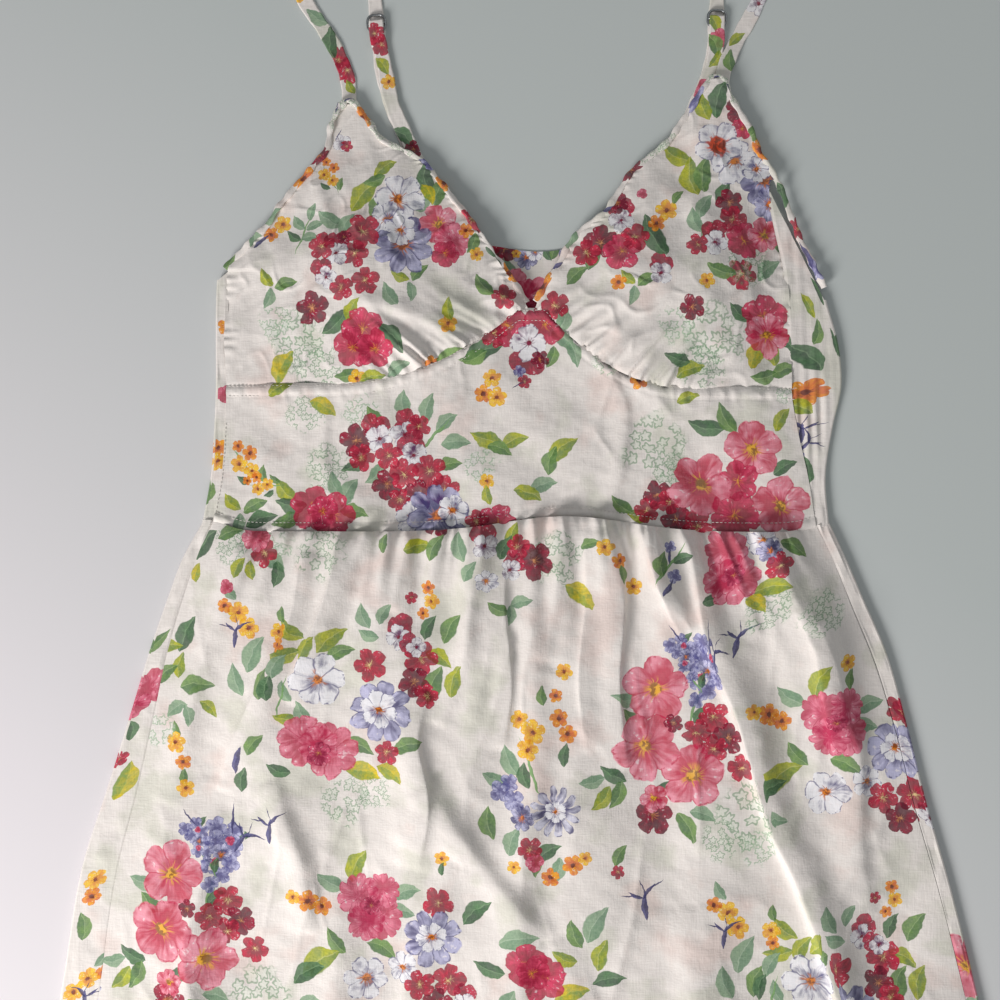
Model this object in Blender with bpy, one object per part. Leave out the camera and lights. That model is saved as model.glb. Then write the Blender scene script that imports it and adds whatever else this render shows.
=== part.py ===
"""A strappy cotton sundress lying flat on a surface, straps towards +Y, front side up.

The front is two gathered cups on a pointed midriff band above a gathered A-line skirt.  The back is a
plain bodice under an A-line skirt, and both back pieces fold round the sides to meet the front at the
side seams.  Narrow rolled bindings finish the cups, and each shoulder strap doubles back through a slider.

Sizes are in millimetres, measured from the crossing of the centre front and the waist seam.
"""

from collections import namedtuple

import bmesh
import bpy
import numpy as np

MM = 0.001

# Cloth, seams and trims
WALL = 1.2              # thickness of every cloth wall
SEAM_GAP = 0.3          # clearance where two pieces are sewn edge to edge
SIDE_GAP = 0.5          # clearance at the side seams
FOLD_RADIUS = 1.5       # inner radius of the fold where the back turns to the front
BINDING_WIDTH = 3.7     # rolled binding, across
BINDING_DEPTH = 2.0     # rolled binding, through
RIBBON_WIDTH = 8.8      # shoulder strap
SLIDER_WIDTH = 12.0
SLIDER_LENGTH = 11.0
SLIDER_BAR = 1.3        # width of each bar of a slider
SLIDER_DEPTH = 1.5

# Heights of the layers' middle surfaces above the surface that the dress lies on
BACK_LAYER = WALL / 2
WRAP_LAYER = BACK_LAYER + 2 * FOLD_RADIUS + WALL
FRONT_LOWEST = BACK_LAYER + WALL + SEAM_GAP

# Body lengths
WAIST = 2.0             # side seams at the waist
HEM = -475.0
HEM_RISE = 18.0         # the hem curves up by this much at the sides
PEAK = 127.0            # top of the midriff's point
PEAK_HALF_WIDTH = 8.0
CUP_FOOT = 5.6          # half the gap between the two cups on the midriff's point
UNDERBUST_LEFT = 84.0
UNDERBUST_RIGHT = 80.5
UNDERBUST_REACH_LEFT = 110.0   # the underbust curve falls to the side level over this width
UNDERBUST_REACH_RIGHT = 85.0
UNDERBUST_POWER = 2.15
BACK_TOP = 167.0
BACK_TOP_DIP = 6.0      # in the middle of the back
BACK_TOP_ENDS = (-100, 80)     # the back's top edge falls to the folds beyond these places

# Where each side seam and each side fold of the bodice ends at the top.  The right side seam lies well
# round to the front, so the armhole edge runs down from it to the fold.
BODICE_TOPS = {"left_fold": 146.0, "left_seam": 151.0, "right_seam": 195.0, "right_fold": 130.5}

# Columns of cloth faces on each side of the centre front, the same for all the pieces that meet there
COLUMNS_EACH_SIDE = 19
CUP_ROWS = 11
MIDRIFF_ROWS = 6

Level = namedtuple("Level", "height left_fold left_seam right_seam right_fold")
BODICE = [
    Level(200, -184, -178, 136, 146),
    Level(168, -185, -178, 143, 157),
    Level(150, -187, -180, 147, 165),
    Level(128, -188, -182, 149, 171),
    Level(106, -188, -182, 150, 177),
    Level(82, -188, -181, 150, 179),
    Level(58, -189, -182, 154, 174),
    Level(30, -191, -184, 160, 170),
    Level(WAIST, -196, -189, 164, 172),
]
SKIRT = [
    Level(WAIST, -196, -189, 164, 172),
    Level(-20, -208, -199, 174, 182),
    Level(-44, -217, -208, 184, 192),
    Level(-70, -226, -216, 195, 203),
    Level(-116, -240, -226, 209, 216),
    Level(-162, -254, -236, 220, 227),
    Level(-206, -268, -247, 232, 239),
    Level(-282, -281, -258, 250, 257),
    Level(-380, -296, -272, 271, 278),
    Level(HEM, -310, -284, 289, 296),
]

# The waist seam rides up in the middle and at both ends
Rise = namedtuple("Rise", "centre reach height")
WAIST_LEVEL = -5.0
WAIST_RISES = [Rise(20, 50, 9), Rise(-193, 16, 7), Rise(172, 16, 5)]

# Outer edges of the bindings, from the underarm up to the strap and from there down to the midriff's point
Point = namedtuple("Point", "x y")
LEFT_ARMHOLE = [Point(-183, 153.5), Point(-176, 161), Point(-157, 179), Point(-149, 192), Point(-131, 212),
                Point(-123, 222), Point(-120, 238), Point(-114, 250)]
LEFT_NECK = [Point(-103, 250), Point(-97, 242), Point(-85, 228), Point(-65, 216), Point(-50, 200),
             Point(-35, 180), Point(-18, 156), Point(-1, 131.5)]
RIGHT_ARMHOLE = [Point(170, 138), Point(162, 156), Point(155, 171), Point(148, 189), Point(142, 203),
                 Point(133, 217), Point(127, 232), Point(118, 247), Point(113, 259)]
RIGHT_NECK = [Point(101, 259), Point(90, 241), Point(77, 224), Point(56, 205), Point(41, 183),
              Point(25, 170), Point(14, 154), Point(1, 131.5)]

# Rounded swellings of the front: the cups, the air between skirt front and back, the strap under an apex
Swell = namedtuple("Swell", "x y reach_x reach_y height")
SWELLS = [
    Swell(-88, 140, 58, 52, 12),
    Swell(84, 140, 54, 54, 12),
    Swell(107, 252, 22, 22, 2.4),
    Swell(-60, -250, 120, 190, 3),
    Swell(120, -300, 90, 190, 3),
    Swell(20, 40, 90, 40, 1.5),
]

# The largest folds of the front, each a route down the cloth
Fold = namedtuple("Fold", "route reach height")
FOLDS = [
    Fold([(92, -6), (108, -52), (131, -88), (148, -140), (166, -192), (196, -256), (222, -330)], 9, 7.5),
    Fold([(86, -30), (101, -72), (112, -108), (118, -150)], 8, 3.5),
    Fold([(-17, -8), (-22, -46), (-33, -84), (-37, -112), (-34, -138), (-40, -190)], 10, 5),
    Fold([(16, -54), (8, -96), (0, -140), (-8, -210), (-4, -300)], 12, 4.5),
    Fold([(58, -14), (58, -70), (52, -118), (60, -190)], 10, 4),
    Fold([(-113, -9), (-121, -50), (-132, -78), (-146, -105), (-178, -134), (-192, -176)], 9, 6.5),
    Fold([(-137, -28), (-152, -58), (-164, -78)], 8, 3),
    Fold([(-165, -4), (-182, -38), (-196, -80)], 7, 3.5),
    Fold([(-150, -150), (-172, -250), (-196, -360), (-214, -474)], 14, 6),
    Fold([(-70, -150), (-86, -240), (-100, -350), (-108, -474)], 16, 6),
    Fold([(-4, -212), (34, -250), (60, -330), (72, -474)], 14, 6),
    Fold([(88, -240), (106, -330), (128, -474)], 15, 5),
    Fold([(-120, 80), (-122, 44), (-120, 16)], 6, 1.8),
    Fold([(38, 98), (54, 70), (52, 36), (46, 14)], 7, 2.4),
    Fold([(60, 88), (82, 44), (92, 14)], 11, 2.2),
]


def column(levels, name, height):
    """The value of one column of a level table at a height."""
    heights = [getattr(level, "height") for level in reversed(levels)]
    values = [getattr(level, name) for level in reversed(levels)]
    return float(np.interp(height, heights, values))


def bump(distance, reach):
    return float(np.exp(-(distance / reach) ** 2))


def waist(x):
    return WAIST_LEVEL + sum(rise.height * bump(x - rise.centre, rise.reach) for rise in WAIST_RISES)


def hem(x):
    return HEM + HEM_RISE * (x / 300) ** 2


def underbust(x):
    """The midriff's top edge, which climbs from both sides to a flat point at the centre front."""
    side = UNDERBUST_LEFT if x < 0 else UNDERBUST_RIGHT
    reach = UNDERBUST_REACH_LEFT if x < 0 else UNDERBUST_REACH_RIGHT
    climb = np.clip(1 - (abs(x) - PEAK_HALF_WIDTH) / reach, 0, 1)
    return float(side + (PEAK - side) * climb ** UNDERBUST_POWER)


def back_top(x):
    """The top edge of the back's lower layer, from one side fold to the other."""
    places = (BODICE[2].left_fold, *BACK_TOP_ENDS, BODICE[3].right_fold)
    heights = (BODICE_TOPS["left_fold"], BACK_TOP, BACK_TOP, BODICE_TOPS["right_fold"])
    return float(np.interp(x, places, heights)) - BACK_TOP_DIP * bump(x - 5, 28)


def route_offset(route, x, y):
    """Distance from a point to a route, and how far along the route its nearest point lies, 0 to 1."""
    points = np.array(route, dtype=float)
    steps = points[1:] - points[:-1]
    lengths = np.linalg.norm(steps, axis=1)
    place = np.array([x, y])
    along = np.clip(((place - points[:-1]) * steps).sum(axis=1) / lengths ** 2, 0, 1)
    nearest = points[:-1] + steps * along[:, None]
    distances = np.linalg.norm(place - nearest, axis=1)
    i = int(distances.argmin())
    return distances[i], (lengths[:i].sum() + along[i] * lengths[i]) / lengths.sum()


def front_height(x, y):
    """Middle surface of the front: side-seam height, plus swellings and folds, which fade at their ends."""
    height = WRAP_LAYER
    for swell in SWELLS:
        height += swell.height * bump(x - swell.x, swell.reach_x) * bump(y - swell.y, swell.reach_y)
    for fold in FOLDS:
        distance, along = route_offset(fold.route, x, y)
        at_hem = fold.route[-1][1] < HEM + 5
        fade = 1 if at_hem and along > 0.5 else np.sin(np.pi * along) ** 0.5
        height += fold.height * bump(distance, fold.reach) * (0.25 + 0.75 * fade)
    return max(height, FRONT_LOWEST)


def side_fade(x, y, left, right):
    """0 at the side seams, where the front joins the folded back, and 1 away from them."""
    return float(np.clip(min(x - left, right - x) / 22, 0, 1)) ** 0.8


def make_object(name, vertices, faces, finish):
    mesh = bpy.data.meshes.new(name)
    mesh.from_pydata([tuple(float(c) * MM for c in vertex) for vertex in vertices], [], faces)
    bm = bmesh.new()
    bm.from_mesh(mesh)
    bmesh.ops.recalc_face_normals(bm, faces=bm.faces)
    if bm.calc_volume(signed=True) < 0:
        bmesh.ops.reverse_faces(bm, faces=bm.faces)
    bm.to_mesh(mesh)
    bm.free()
    mesh.shade_smooth()
    mesh.set_sharp_from_angle(angle=np.radians(50))
    part = bpy.data.objects.new(name, mesh)
    bpy.context.collection.objects.link(part)
    colour, roughness, metallic = finish
    material = bpy.data.materials.new(name)
    material.use_nodes = True
    shader = material.node_tree.nodes["Principled BSDF"]
    shader.inputs["Base Color"].default_value = (*colour, 1)
    shader.inputs["Roughness"].default_value = roughness
    shader.inputs["Metallic"].default_value = metallic
    mesh.materials.append(material)
    return part


CLOTH = ((0.80, 0.76, 0.74), 0.85, 0.0)
BACK_CLOTH = ((0.74, 0.72, 0.70), 0.85, 0.0)
TRIM = ((0.62, 0.30, 0.36), 0.8, 0.0)
RIBBON = ((0.70, 0.76, 0.62), 0.8, 0.0)
NICKEL = ((0.45, 0.46, 0.47), 0.3, 1.0)


def wall(name, upper, lower, finish):
    """A closed wall between an upper and a lower grid of points of the same rows and columns."""
    rows, columns = upper.shape[:2]
    count = rows * columns
    vertices = np.concatenate([upper.reshape(count, 3), lower.reshape(count, 3)])
    faces = []
    for r in range(rows - 1):
        for c in range(columns - 1):
            a = r * columns + c
            quad = (a, a + 1, a + columns + 1, a + columns)
            faces.append(quad)
            faces.append(tuple(count + i for i in reversed(quad)))
    rim = [c for c in range(columns)]
    rim += [r * columns + columns - 1 for r in range(1, rows)]
    rim += [(rows - 1) * columns + c for c in reversed(range(columns - 1))]
    rim += [r * columns for r in reversed(range(1, rows - 1))]
    for a, b in zip(rim, rim[1:] + rim[:1]):
        faces.append((b, a, count + a, count + b))
    return make_object(name, vertices, faces, finish)


def front_wall(name, grid, heights, finish):
    """A wall of even thickness over a plan grid, its faces moved straight up and down from its heights."""
    slope_r = np.gradient(heights, axis=0) / np.maximum(np.linalg.norm(np.gradient(grid, axis=0), axis=2), 1e-6)
    slope_c = np.gradient(heights, axis=1) / np.maximum(np.linalg.norm(np.gradient(grid, axis=1), axis=2), 1e-6)
    steepness = np.minimum(np.sqrt(1 + slope_r ** 2 + slope_c ** 2), 1.5)
    half = WALL / 2 * steepness
    lowest = BACK_LAYER + WALL / 2 + SEAM_GAP
    middle = np.maximum(heights, lowest + half)
    upper = np.dstack([grid, middle + half])
    lower = np.dstack([grid, middle - half])
    return wall(name, upper, lower, finish)


def seam_columns(left, right):
    """Places across a piece: even steps from its left edge to the centre front, and on to its right edge."""
    steps = np.linspace(0, 1, COLUMNS_EACH_SIDE + 1)
    return np.concatenate([left + (-CUP_FOOT - left) * steps, CUP_FOOT + (right - CUP_FOOT) * steps])


def row_heights(levels):
    """The heights of a level table with one more row between each two."""
    heights = [level.height for level in levels]
    between = [(a + b) / 2 for a, b in zip(heights, heights[1:])]
    return sorted(heights + between, reverse=True)


def skirt_front():
    rows = []
    heights = []
    for level in row_heights(SKIRT):
        down = (WAIST - level) / (WAIST - HEM)
        left = column(SKIRT, "left_seam", level) + SIDE_GAP / 2
        right = column(SKIRT, "right_seam", level) - SIDE_GAP / 2
        row = []
        for x in seam_columns(left, right):
            top = waist(x) - SEAM_GAP / 2
            row.append((x, top + (hem(x) - top) * down))
        rows.append(row)
        heights.append([
            WRAP_LAYER + (front_height(x, y) - WRAP_LAYER) * side_fade(x, y, left, right) for x, y in row
        ])
    return front_wall("skirt_front", np.array(rows), np.array(heights), CLOTH)


def midriff_front():
    rows = []
    heights = []
    for up in np.linspace(0, 1, MIDRIFF_ROWS + 1):
        level = WAIST + (UNDERBUST_LEFT - WAIST) * up
        left = column(BODICE, "left_seam", level) + SIDE_GAP / 2
        right = column(BODICE, "right_seam", level) - SIDE_GAP / 2
        row = []
        for x in seam_columns(left, right):
            low = waist(x) + SEAM_GAP / 2
            high = underbust(x) - SEAM_GAP / 2
            row.append((x, low + (high - low) * up))
        rows.append(row)
        heights.append([
            WRAP_LAYER + (front_height(x, y) - WRAP_LAYER) * side_fade(x, y, left, right) for x, y in row
        ])
    return front_wall("midriff_front", np.array(rows), np.array(heights), CLOTH)


def smooth_route(points, count):
    """Evenly spaced points on a rounded line through the given ones."""
    points = np.array([tuple(point) for point in points], dtype=float)
    ends = np.vstack([2 * points[0] - points[1], points, 2 * points[-1] - points[-2]])
    fine = []
    for i in range(1, len(ends) - 2):
        p0, p1, p2, p3 = ends[i - 1:i + 3]
        for t in np.linspace(0, 1, 12, endpoint=False):
            fine.append(0.5 * (2 * p1 + (p2 - p0) * t + (2 * p0 - 5 * p1 + 4 * p2 - p3) * t ** 2
                               + (3 * p1 - p0 - 3 * p2 + p3) * t ** 3))
    fine.append(points[-1])
    fine = np.array(fine)
    lengths = np.concatenate([[0], np.cumsum(np.linalg.norm(np.diff(fine, axis=0), axis=1))])
    places = np.linspace(0, lengths[-1], count)
    return np.column_stack([np.interp(places, lengths, fine[:, i]) for i in range(fine.shape[1])])


def moved_aside(line, distance):
    """A plan line moved to its left by a distance."""
    direction = np.gradient(line, axis=0)
    direction /= np.linalg.norm(direction, axis=1)[:, None]
    return line + distance * np.column_stack([-direction[:, 1], direction[:, 0]])


def cup_patch(side):
    """Plan grid of a cup, rows from the underbust seam up to the strap, columns from armhole to neck."""
    armhole_points, neck_points = (LEFT_ARMHOLE, LEFT_NECK) if side < 0 else (RIGHT_ARMHOLE, RIGHT_NECK)
    seam_name = "left_seam" if side < 0 else "right_seam"
    low = UNDERBUST_LEFT if side < 0 else UNDERBUST_RIGHT
    underarm = BODICE_TOPS[seam_name]
    inset = BINDING_WIDTH + 4 * SEAM_GAP
    armhole = moved_aside(smooth_route(armhole_points, 30), side * inset)
    neck = moved_aside(smooth_route(neck_points[::-1], 30), -side * inset)
    seam = [(column(BODICE, seam_name, level) - side * SIDE_GAP / 2, level)
            for level in np.linspace(low, underarm, 5)]
    seam[0] = (seam[0][0], underbust(seam[0][0]) + SEAM_GAP / 2)
    edge = [tuple(place) for place in armhole if place[1] > underarm + 5]
    outer = smooth_route(seam + edge, CUP_ROWS + 1)
    foot = (side * CUP_FOOT, PEAK + SEAM_GAP / 2)
    inner = smooth_route([foot] + [tuple(place) for place in neck if place[1] > PEAK + 5], CUP_ROWS + 1)
    steps = np.linspace(0, 1, COLUMNS_EACH_SIDE + 1)
    bottom_x = seam[0][0] * (1 - steps) + foot[0] * steps
    bottom = np.array([(x, underbust(x) + SEAM_GAP / 2) for x in bottom_x])
    top = outer[-1] * (1 - steps[:, None]) + inner[-1] * steps[:, None]
    grid = np.zeros((CUP_ROWS + 1, COLUMNS_EACH_SIDE + 1, 2))
    for r, v in enumerate(np.linspace(0, 1, CUP_ROWS + 1)):
        for c, u in enumerate(steps):
            corners = ((1 - u) * (1 - v) * bottom[0] + u * (1 - v) * bottom[-1]
                       + (1 - u) * v * top[0] + u * v * top[-1])
            grid[r, c] = ((1 - v) * bottom[c] + v * top[c] + (1 - u) * outer[r] + u * inner[r] - corners)
    return grid


def cup_height(x, y):
    """Height of a cup, which settles to the seam height along its side seam."""
    left = column(BODICE, "left_seam", y)
    right = column(BODICE, "right_seam", y)
    top = BODICE_TOPS["left_seam"] if x < 0 else BODICE_TOPS["right_seam"]
    fade = side_fade(x, y, left, right) if y < top else 1.0
    return WRAP_LAYER + (front_height(x, y) - WRAP_LAYER) * max(fade, 0)


def cup(name, side):
    grid = cup_patch(side)
    if side > 0:
        grid = grid[:, ::-1]
    heights = np.array([[cup_height(x, y) for x, y in row] for row in grid])
    return front_wall(name, grid, heights, CLOTH)


def folded_section(left_fold, left_seam, right_seam, right_fold):
    """Across the back: in from the left side seam, round the left fold, under, and up round the right one.

    Gives rows of place across, height, the direction that the wall faces outwards, and how far the row is
    round the left (negative) or right (positive) side: 0 under the dress, 1 at the fold, 2 at the seam.
    """
    turn = FOLD_RADIUS + WALL / 2
    left_centre = left_fold + turn + WALL / 2
    right_centre = right_fold - turn - WALL / 2
    line = []
    for step in (0, 0.5, 1):
        x = (left_seam - SIDE_GAP / 2) * (1 - step) + left_centre * step
        line.append((x, WRAP_LAYER, 0, 1, step - 2))
    for angle in np.radians((135, 180, 225)):
        line.append((left_centre + turn * np.cos(angle), BACK_LAYER + turn + turn * np.sin(angle),
                     np.cos(angle), np.sin(angle), -1))
    for x in np.linspace(left_centre, right_centre, 6):
        line.append((x, BACK_LAYER, 0, -1, 0))
    for angle in np.radians((-45, 0, 45)):
        line.append((right_centre + turn * np.cos(angle), BACK_LAYER + turn + turn * np.sin(angle),
                     np.cos(angle), np.sin(angle), 1))
    for step in (0, 0.5, 1):
        x = right_centre * (1 - step) + (right_seam + SIDE_GAP / 2) * step
        line.append((x, WRAP_LAYER, 0, 1, step + 1))
    return line


def back_wall(name, levels, tops, top_edge, bottom_edge, downs):
    """The back of the bodice or of the skirt, lying on its face with both sides folded to the front."""
    outside = []
    inside = []
    lowest = levels[-1].height
    for down in downs:
        across = {side: column(levels, side, top * (1 - down) + lowest * down) for side, top in tops.items()}
        ends = {side: top * (1 - down) + bottom_edge(across[side]) * down for side, top in tops.items()}
        outer_row = []
        inner_row = []
        for x, z, face_x, face_z, turned in folded_section(*across.values()):
            side = "left" if turned < 0 else "right"
            beyond = max(abs(turned) - 1, 0)
            y = ends[side + "_fold"] * (1 - beyond) + ends[side + "_seam"] * beyond
            if turned == 0:
                y = top_edge(x) * (1 - down) + bottom_edge(x) * down
            outer_row.append((x + face_x * WALL / 2, y, z + face_z * WALL / 2))
            inner_row.append((x - face_x * WALL / 2, y, z - face_z * WALL / 2))
        outside.append(outer_row)
        inside.append(inner_row)
    return wall(name, np.array(outside), np.array(inside), BACK_CLOTH)


def skirt_back():
    tops = {name: waist(getattr(SKIRT[0], name)) - SEAM_GAP / 2
            for name in ("left_fold", "left_seam", "right_seam", "right_fold")}
    downs = [(WAIST - level) / (WAIST - HEM) for level in row_heights(SKIRT)]
    return back_wall("skirt_back", SKIRT, tops, lambda x: waist(x) - SEAM_GAP / 2, hem, downs)


def bodice_back():
    downs = np.linspace(0, 1, 11)
    return back_wall("bodice_back", BODICE, BODICE_TOPS, back_top, lambda x: waist(x) + SEAM_GAP / 2, downs)


def frames(line, tilts):
    """Across and through directions of a flat strip at each point of its route, rolled by its tilts."""
    tangent = np.gradient(line, axis=0)
    tangent /= np.linalg.norm(tangent, axis=1)[:, None]
    up = np.array([0.0, 0.0, 1.0])
    across = np.cross(tangent, up)
    across /= np.linalg.norm(across, axis=1)[:, None]
    through = np.cross(across, tangent)
    roll = np.radians(tilts)[:, None]
    rolled_across = across * np.cos(roll) + through * np.sin(roll)
    rolled_through = through * np.cos(roll) - across * np.sin(roll)
    return rolled_across, rolled_through


def strip(name, line, tilts, outline, finish):
    """A closed strip: an outline of (across, through) places carried along a route."""
    across, through = frames(line, tilts)
    sides = len(outline)
    vertices = []
    for place, a, t in zip(line, across, through):
        vertices += [place + a * u + t * v for u, v in outline]
    faces = []
    for i in range(len(line) - 1):
        for k in range(sides):
            n = (k + 1) % sides
            faces.append((i * sides + k, i * sides + n, (i + 1) * sides + n, (i + 1) * sides + k))
    faces.append(tuple(reversed(range(sides))))
    faces.append(tuple((len(line) - 1) * sides + k for k in range(sides)))
    return make_object(name, vertices, faces, finish)


def binding(name, points, side, count):
    """A rolled binding whose outer edge follows the given points."""
    centre = moved_aside(smooth_route(points, count), side * BINDING_WIDTH / 2)
    line = np.array([(x, y, cup_height(x, y)) for x, y in centre])
    angles = np.radians(np.arange(0, 360, 60))
    outline = [(BINDING_WIDTH / 2 * np.cos(a), BINDING_DEPTH / 2 * np.sin(a)) for a in angles]
    return strip(name, line, np.zeros(len(line)), outline, TRIM)


# Shoulder straps, from the cup over the shoulder and down to the slider, then on to the back's top edge.
# The strap lies flat, and stands on its edge where it turns over the shoulder.
StrapPoint = namedtuple("StrapPoint", "x y lift tilt")
FLAT = BACK_LAYER
ON_EDGE = RIBBON_WIDTH / 2 + 0.3
LEFT_STRAP = [
    StrapPoint(-108.5, 240, FLAT, 0), StrapPoint(-108.5, 263, FLAT, 0), StrapPoint(-114, 278, FLAT, 0),
    StrapPoint(-122, 292, FLAT, 0), StrapPoint(-134, 311, FLAT + 0.3, 0), StrapPoint(-147, 336, FLAT + 2.4, 20),
    StrapPoint(-156, 364, ON_EDGE, 75), StrapPoint(-154, 394, ON_EDGE, 90), StrapPoint(-134, 414, ON_EDGE, 90),
    StrapPoint(-111, 404, ON_EDGE, 90), StrapPoint(-99, 378, ON_EDGE, 75), StrapPoint(-94, 346, FLAT + 2.4, 20),
    StrapPoint(-93, 322, FLAT + 0.2, 0), StrapPoint(-92, 300, FLAT, 0), StrapPoint(-89, 275, FLAT, 0),
    StrapPoint(-83, 249, FLAT, 0), StrapPoint(-72, 222, FLAT, 0), StrapPoint(-62, 195, FLAT, 0),
    StrapPoint(-58, 169, FLAT, 0),
]
LEFT_RETURN = [
    StrapPoint(-92.3, 303.2, 0, 0), StrapPoint(-92, 300, 0, 0), StrapPoint(-91.6, 296, 0, 0),
    StrapPoint(-91, 289, 0, 0), StrapPoint(-89, 275, 0, 0), StrapPoint(-83, 249, 0, 0),
    StrapPoint(-72, 222, 0, 0), StrapPoint(-62, 195, 0, 0), StrapPoint(-58, 169, 0, 0),
]
RIGHT_STRAP = [
    StrapPoint(110, 247, 3.7, 0), StrapPoint(111, 261, 3.7, 0), StrapPoint(115.5, 273, 2.6, 0),
    StrapPoint(121, 285, FLAT + 0.2, 0), StrapPoint(131, 304, FLAT, 0), StrapPoint(143, 330, FLAT + 2.4, 20),
    StrapPoint(154, 360, ON_EDGE, 75), StrapPoint(153, 390, ON_EDGE, 90), StrapPoint(136, 409, ON_EDGE, 90),
    StrapPoint(117, 398, ON_EDGE, 90), StrapPoint(109, 372, ON_EDGE, 75), StrapPoint(107.5, 342, FLAT + 2.4, 20),
    StrapPoint(108, 318, FLAT + 0.2, 0), StrapPoint(108, 298, FLAT, 0), StrapPoint(106, 276, FLAT, 0),
    StrapPoint(101, 258, FLAT, 0), StrapPoint(88, 226, FLAT, 0), StrapPoint(72, 195, FLAT, 0),
    StrapPoint(63, 169, FLAT, 0),
]
RIGHT_RETURN = [
    StrapPoint(108, 301.2, 0, 0), StrapPoint(108, 298, 0, 0), StrapPoint(107.8, 294, 0, 0),
    StrapPoint(107.3, 287, 0, 0), StrapPoint(106, 276, 0, 0), StrapPoint(101, 258, 0, 0),
    StrapPoint(88, 226, 0, 0), StrapPoint(72, 195, 0, 0), StrapPoint(63, 169, 0, 0),
]
RETURN_LAYER = FLAT + WALL + SEAM_GAP
SLIDER_BOTTOM = FLAT + WALL / 2 + SEAM_GAP
OVER_SLIDER = SLIDER_BOTTOM + SLIDER_DEPTH + SEAM_GAP + WALL / 2
RIBBON_OUTLINE = [(-RIBBON_WIDTH / 2, -WALL / 2), (RIBBON_WIDTH / 2, -WALL / 2),
                  (RIBBON_WIDTH / 2, WALL / 2), (-RIBBON_WIDTH / 2, WALL / 2)]


def strap(name, points, count):
    route = smooth_route(points, count)
    tilts = np.radians(np.abs(route[:, 3]))
    lowest = RIBBON_WIDTH / 2 * np.sin(tilts) + WALL / 2 * np.cos(tilts)
    route[:, 2] = np.maximum(route[:, 2], lowest)
    return strip(name, route[:, :3], route[:, 3], RIBBON_OUTLINE, RIBBON)


def strap_return(name, points, slider_y, count):
    """The strap's upper ply: over the slider's bars at its top end, then down onto the lower ply."""
    route = smooth_route(points, count)
    far = slider_y - SLIDER_LENGTH / 2 - 1.5
    for place in route:
        settle = np.clip((far - place[1]) / 9, 0, 1)
        place[2] = OVER_SLIDER + (RETURN_LAYER - OVER_SLIDER) * settle ** 2 * (3 - 2 * settle)
    return strip(name, route[:, :3], route[:, 3], RIBBON_OUTLINE, RIBBON)


def slider(name, x, y, turn):
    """A figure-of-eight strap slider: a flat frame with one bar across its middle."""
    bm = bmesh.new()
    half_w, half_l = SLIDER_WIDTH / 2, SLIDER_LENGTH / 2
    inner_w = half_w - SLIDER_BAR
    rows = [-half_l, -half_l + SLIDER_BAR, -SLIDER_BAR / 2, SLIDER_BAR / 2, half_l - SLIDER_BAR, half_l]
    columns = [-half_w, -inner_w, inner_w, half_w]
    grid = [[bm.verts.new((cx, ry, 0)) for cx in columns] for ry in rows]
    for r in range(len(rows) - 1):
        for c in range(len(columns) - 1):
            window = c == 1 and r in (1, 3)
            if not window:
                bm.faces.new((grid[r][c], grid[r][c + 1], grid[r + 1][c + 1], grid[r + 1][c]))
    corners = [grid[r][c] for r in (0, -1) for c in (0, -1)]
    for vert in corners:
        vert.co.x *= 0.9
        vert.co.y *= 0.9
    raised = bmesh.ops.extrude_face_region(bm, geom=bm.faces[:])
    top = [item for item in raised["geom"] if isinstance(item, bmesh.types.BMVert)]
    bmesh.ops.translate(bm, verts=top, vec=(0, 0, SLIDER_DEPTH))
    cosine, sine = np.cos(np.radians(turn)), np.sin(np.radians(turn))
    bm.verts.index_update()
    vertices = [(x + v.co.x * cosine - v.co.y * sine, y + v.co.x * sine + v.co.y * cosine,
                 SLIDER_BOTTOM + v.co.z) for v in bm.verts]
    faces = [tuple(v.index for v in face.verts) for face in bm.faces]
    bm.free()
    return make_object(name, vertices, faces, NICKEL)


def settle(parts):
    """Moves the whole dress so that the middle of its box stands on the origin, its underside at zero."""
    corners = np.array([vertex.co[:] for part in parts for vertex in part.data.vertices])
    low, high = corners.min(axis=0), corners.max(axis=0)
    shift = np.array([(low[0] + high[0]) / 2, (low[1] + high[1]) / 2, low[2]])
    for part in parts:
        for vertex in part.data.vertices:
            vertex.co = vertex.co - type(vertex.co)(shift)
        part.data.update()


def main():
    for part in list(bpy.data.objects):
        bpy.data.objects.remove(part, do_unlink=True)
    parts = [
        skirt_back(),
        bodice_back(),
        skirt_front(),
        midriff_front(),
        cup("cup_left", -1),
        cup("cup_right", 1),
        binding("armhole_binding_left", LEFT_ARMHOLE, -1, 20),
        binding("armhole_binding_right", RIGHT_ARMHOLE, 1, 20),
        binding("neck_binding_left", LEFT_NECK, -1, 24),
        binding("neck_binding_right", RIGHT_NECK, 1, 24),
        strap("strap_left", LEFT_STRAP, 44),
        strap("strap_right", RIGHT_STRAP, 44),
        strap_return("strap_return_left", LEFT_RETURN, 297, 22),
        strap_return("strap_return_right", RIGHT_RETURN, 295, 22),
        slider("slider_left", -91.7, 297, 4),
        slider("slider_right", 107.8, 295, -3),
    ]
    settle(parts)


main()
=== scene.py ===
"""Looks of a strappy cotton sundress lying flat: thin printed voile over the construction solids.

Sizes of the dress are in millimetres, from the crossing of the centre front and the waist seam, as the
dress is cut.
"""

from collections import namedtuple

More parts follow.
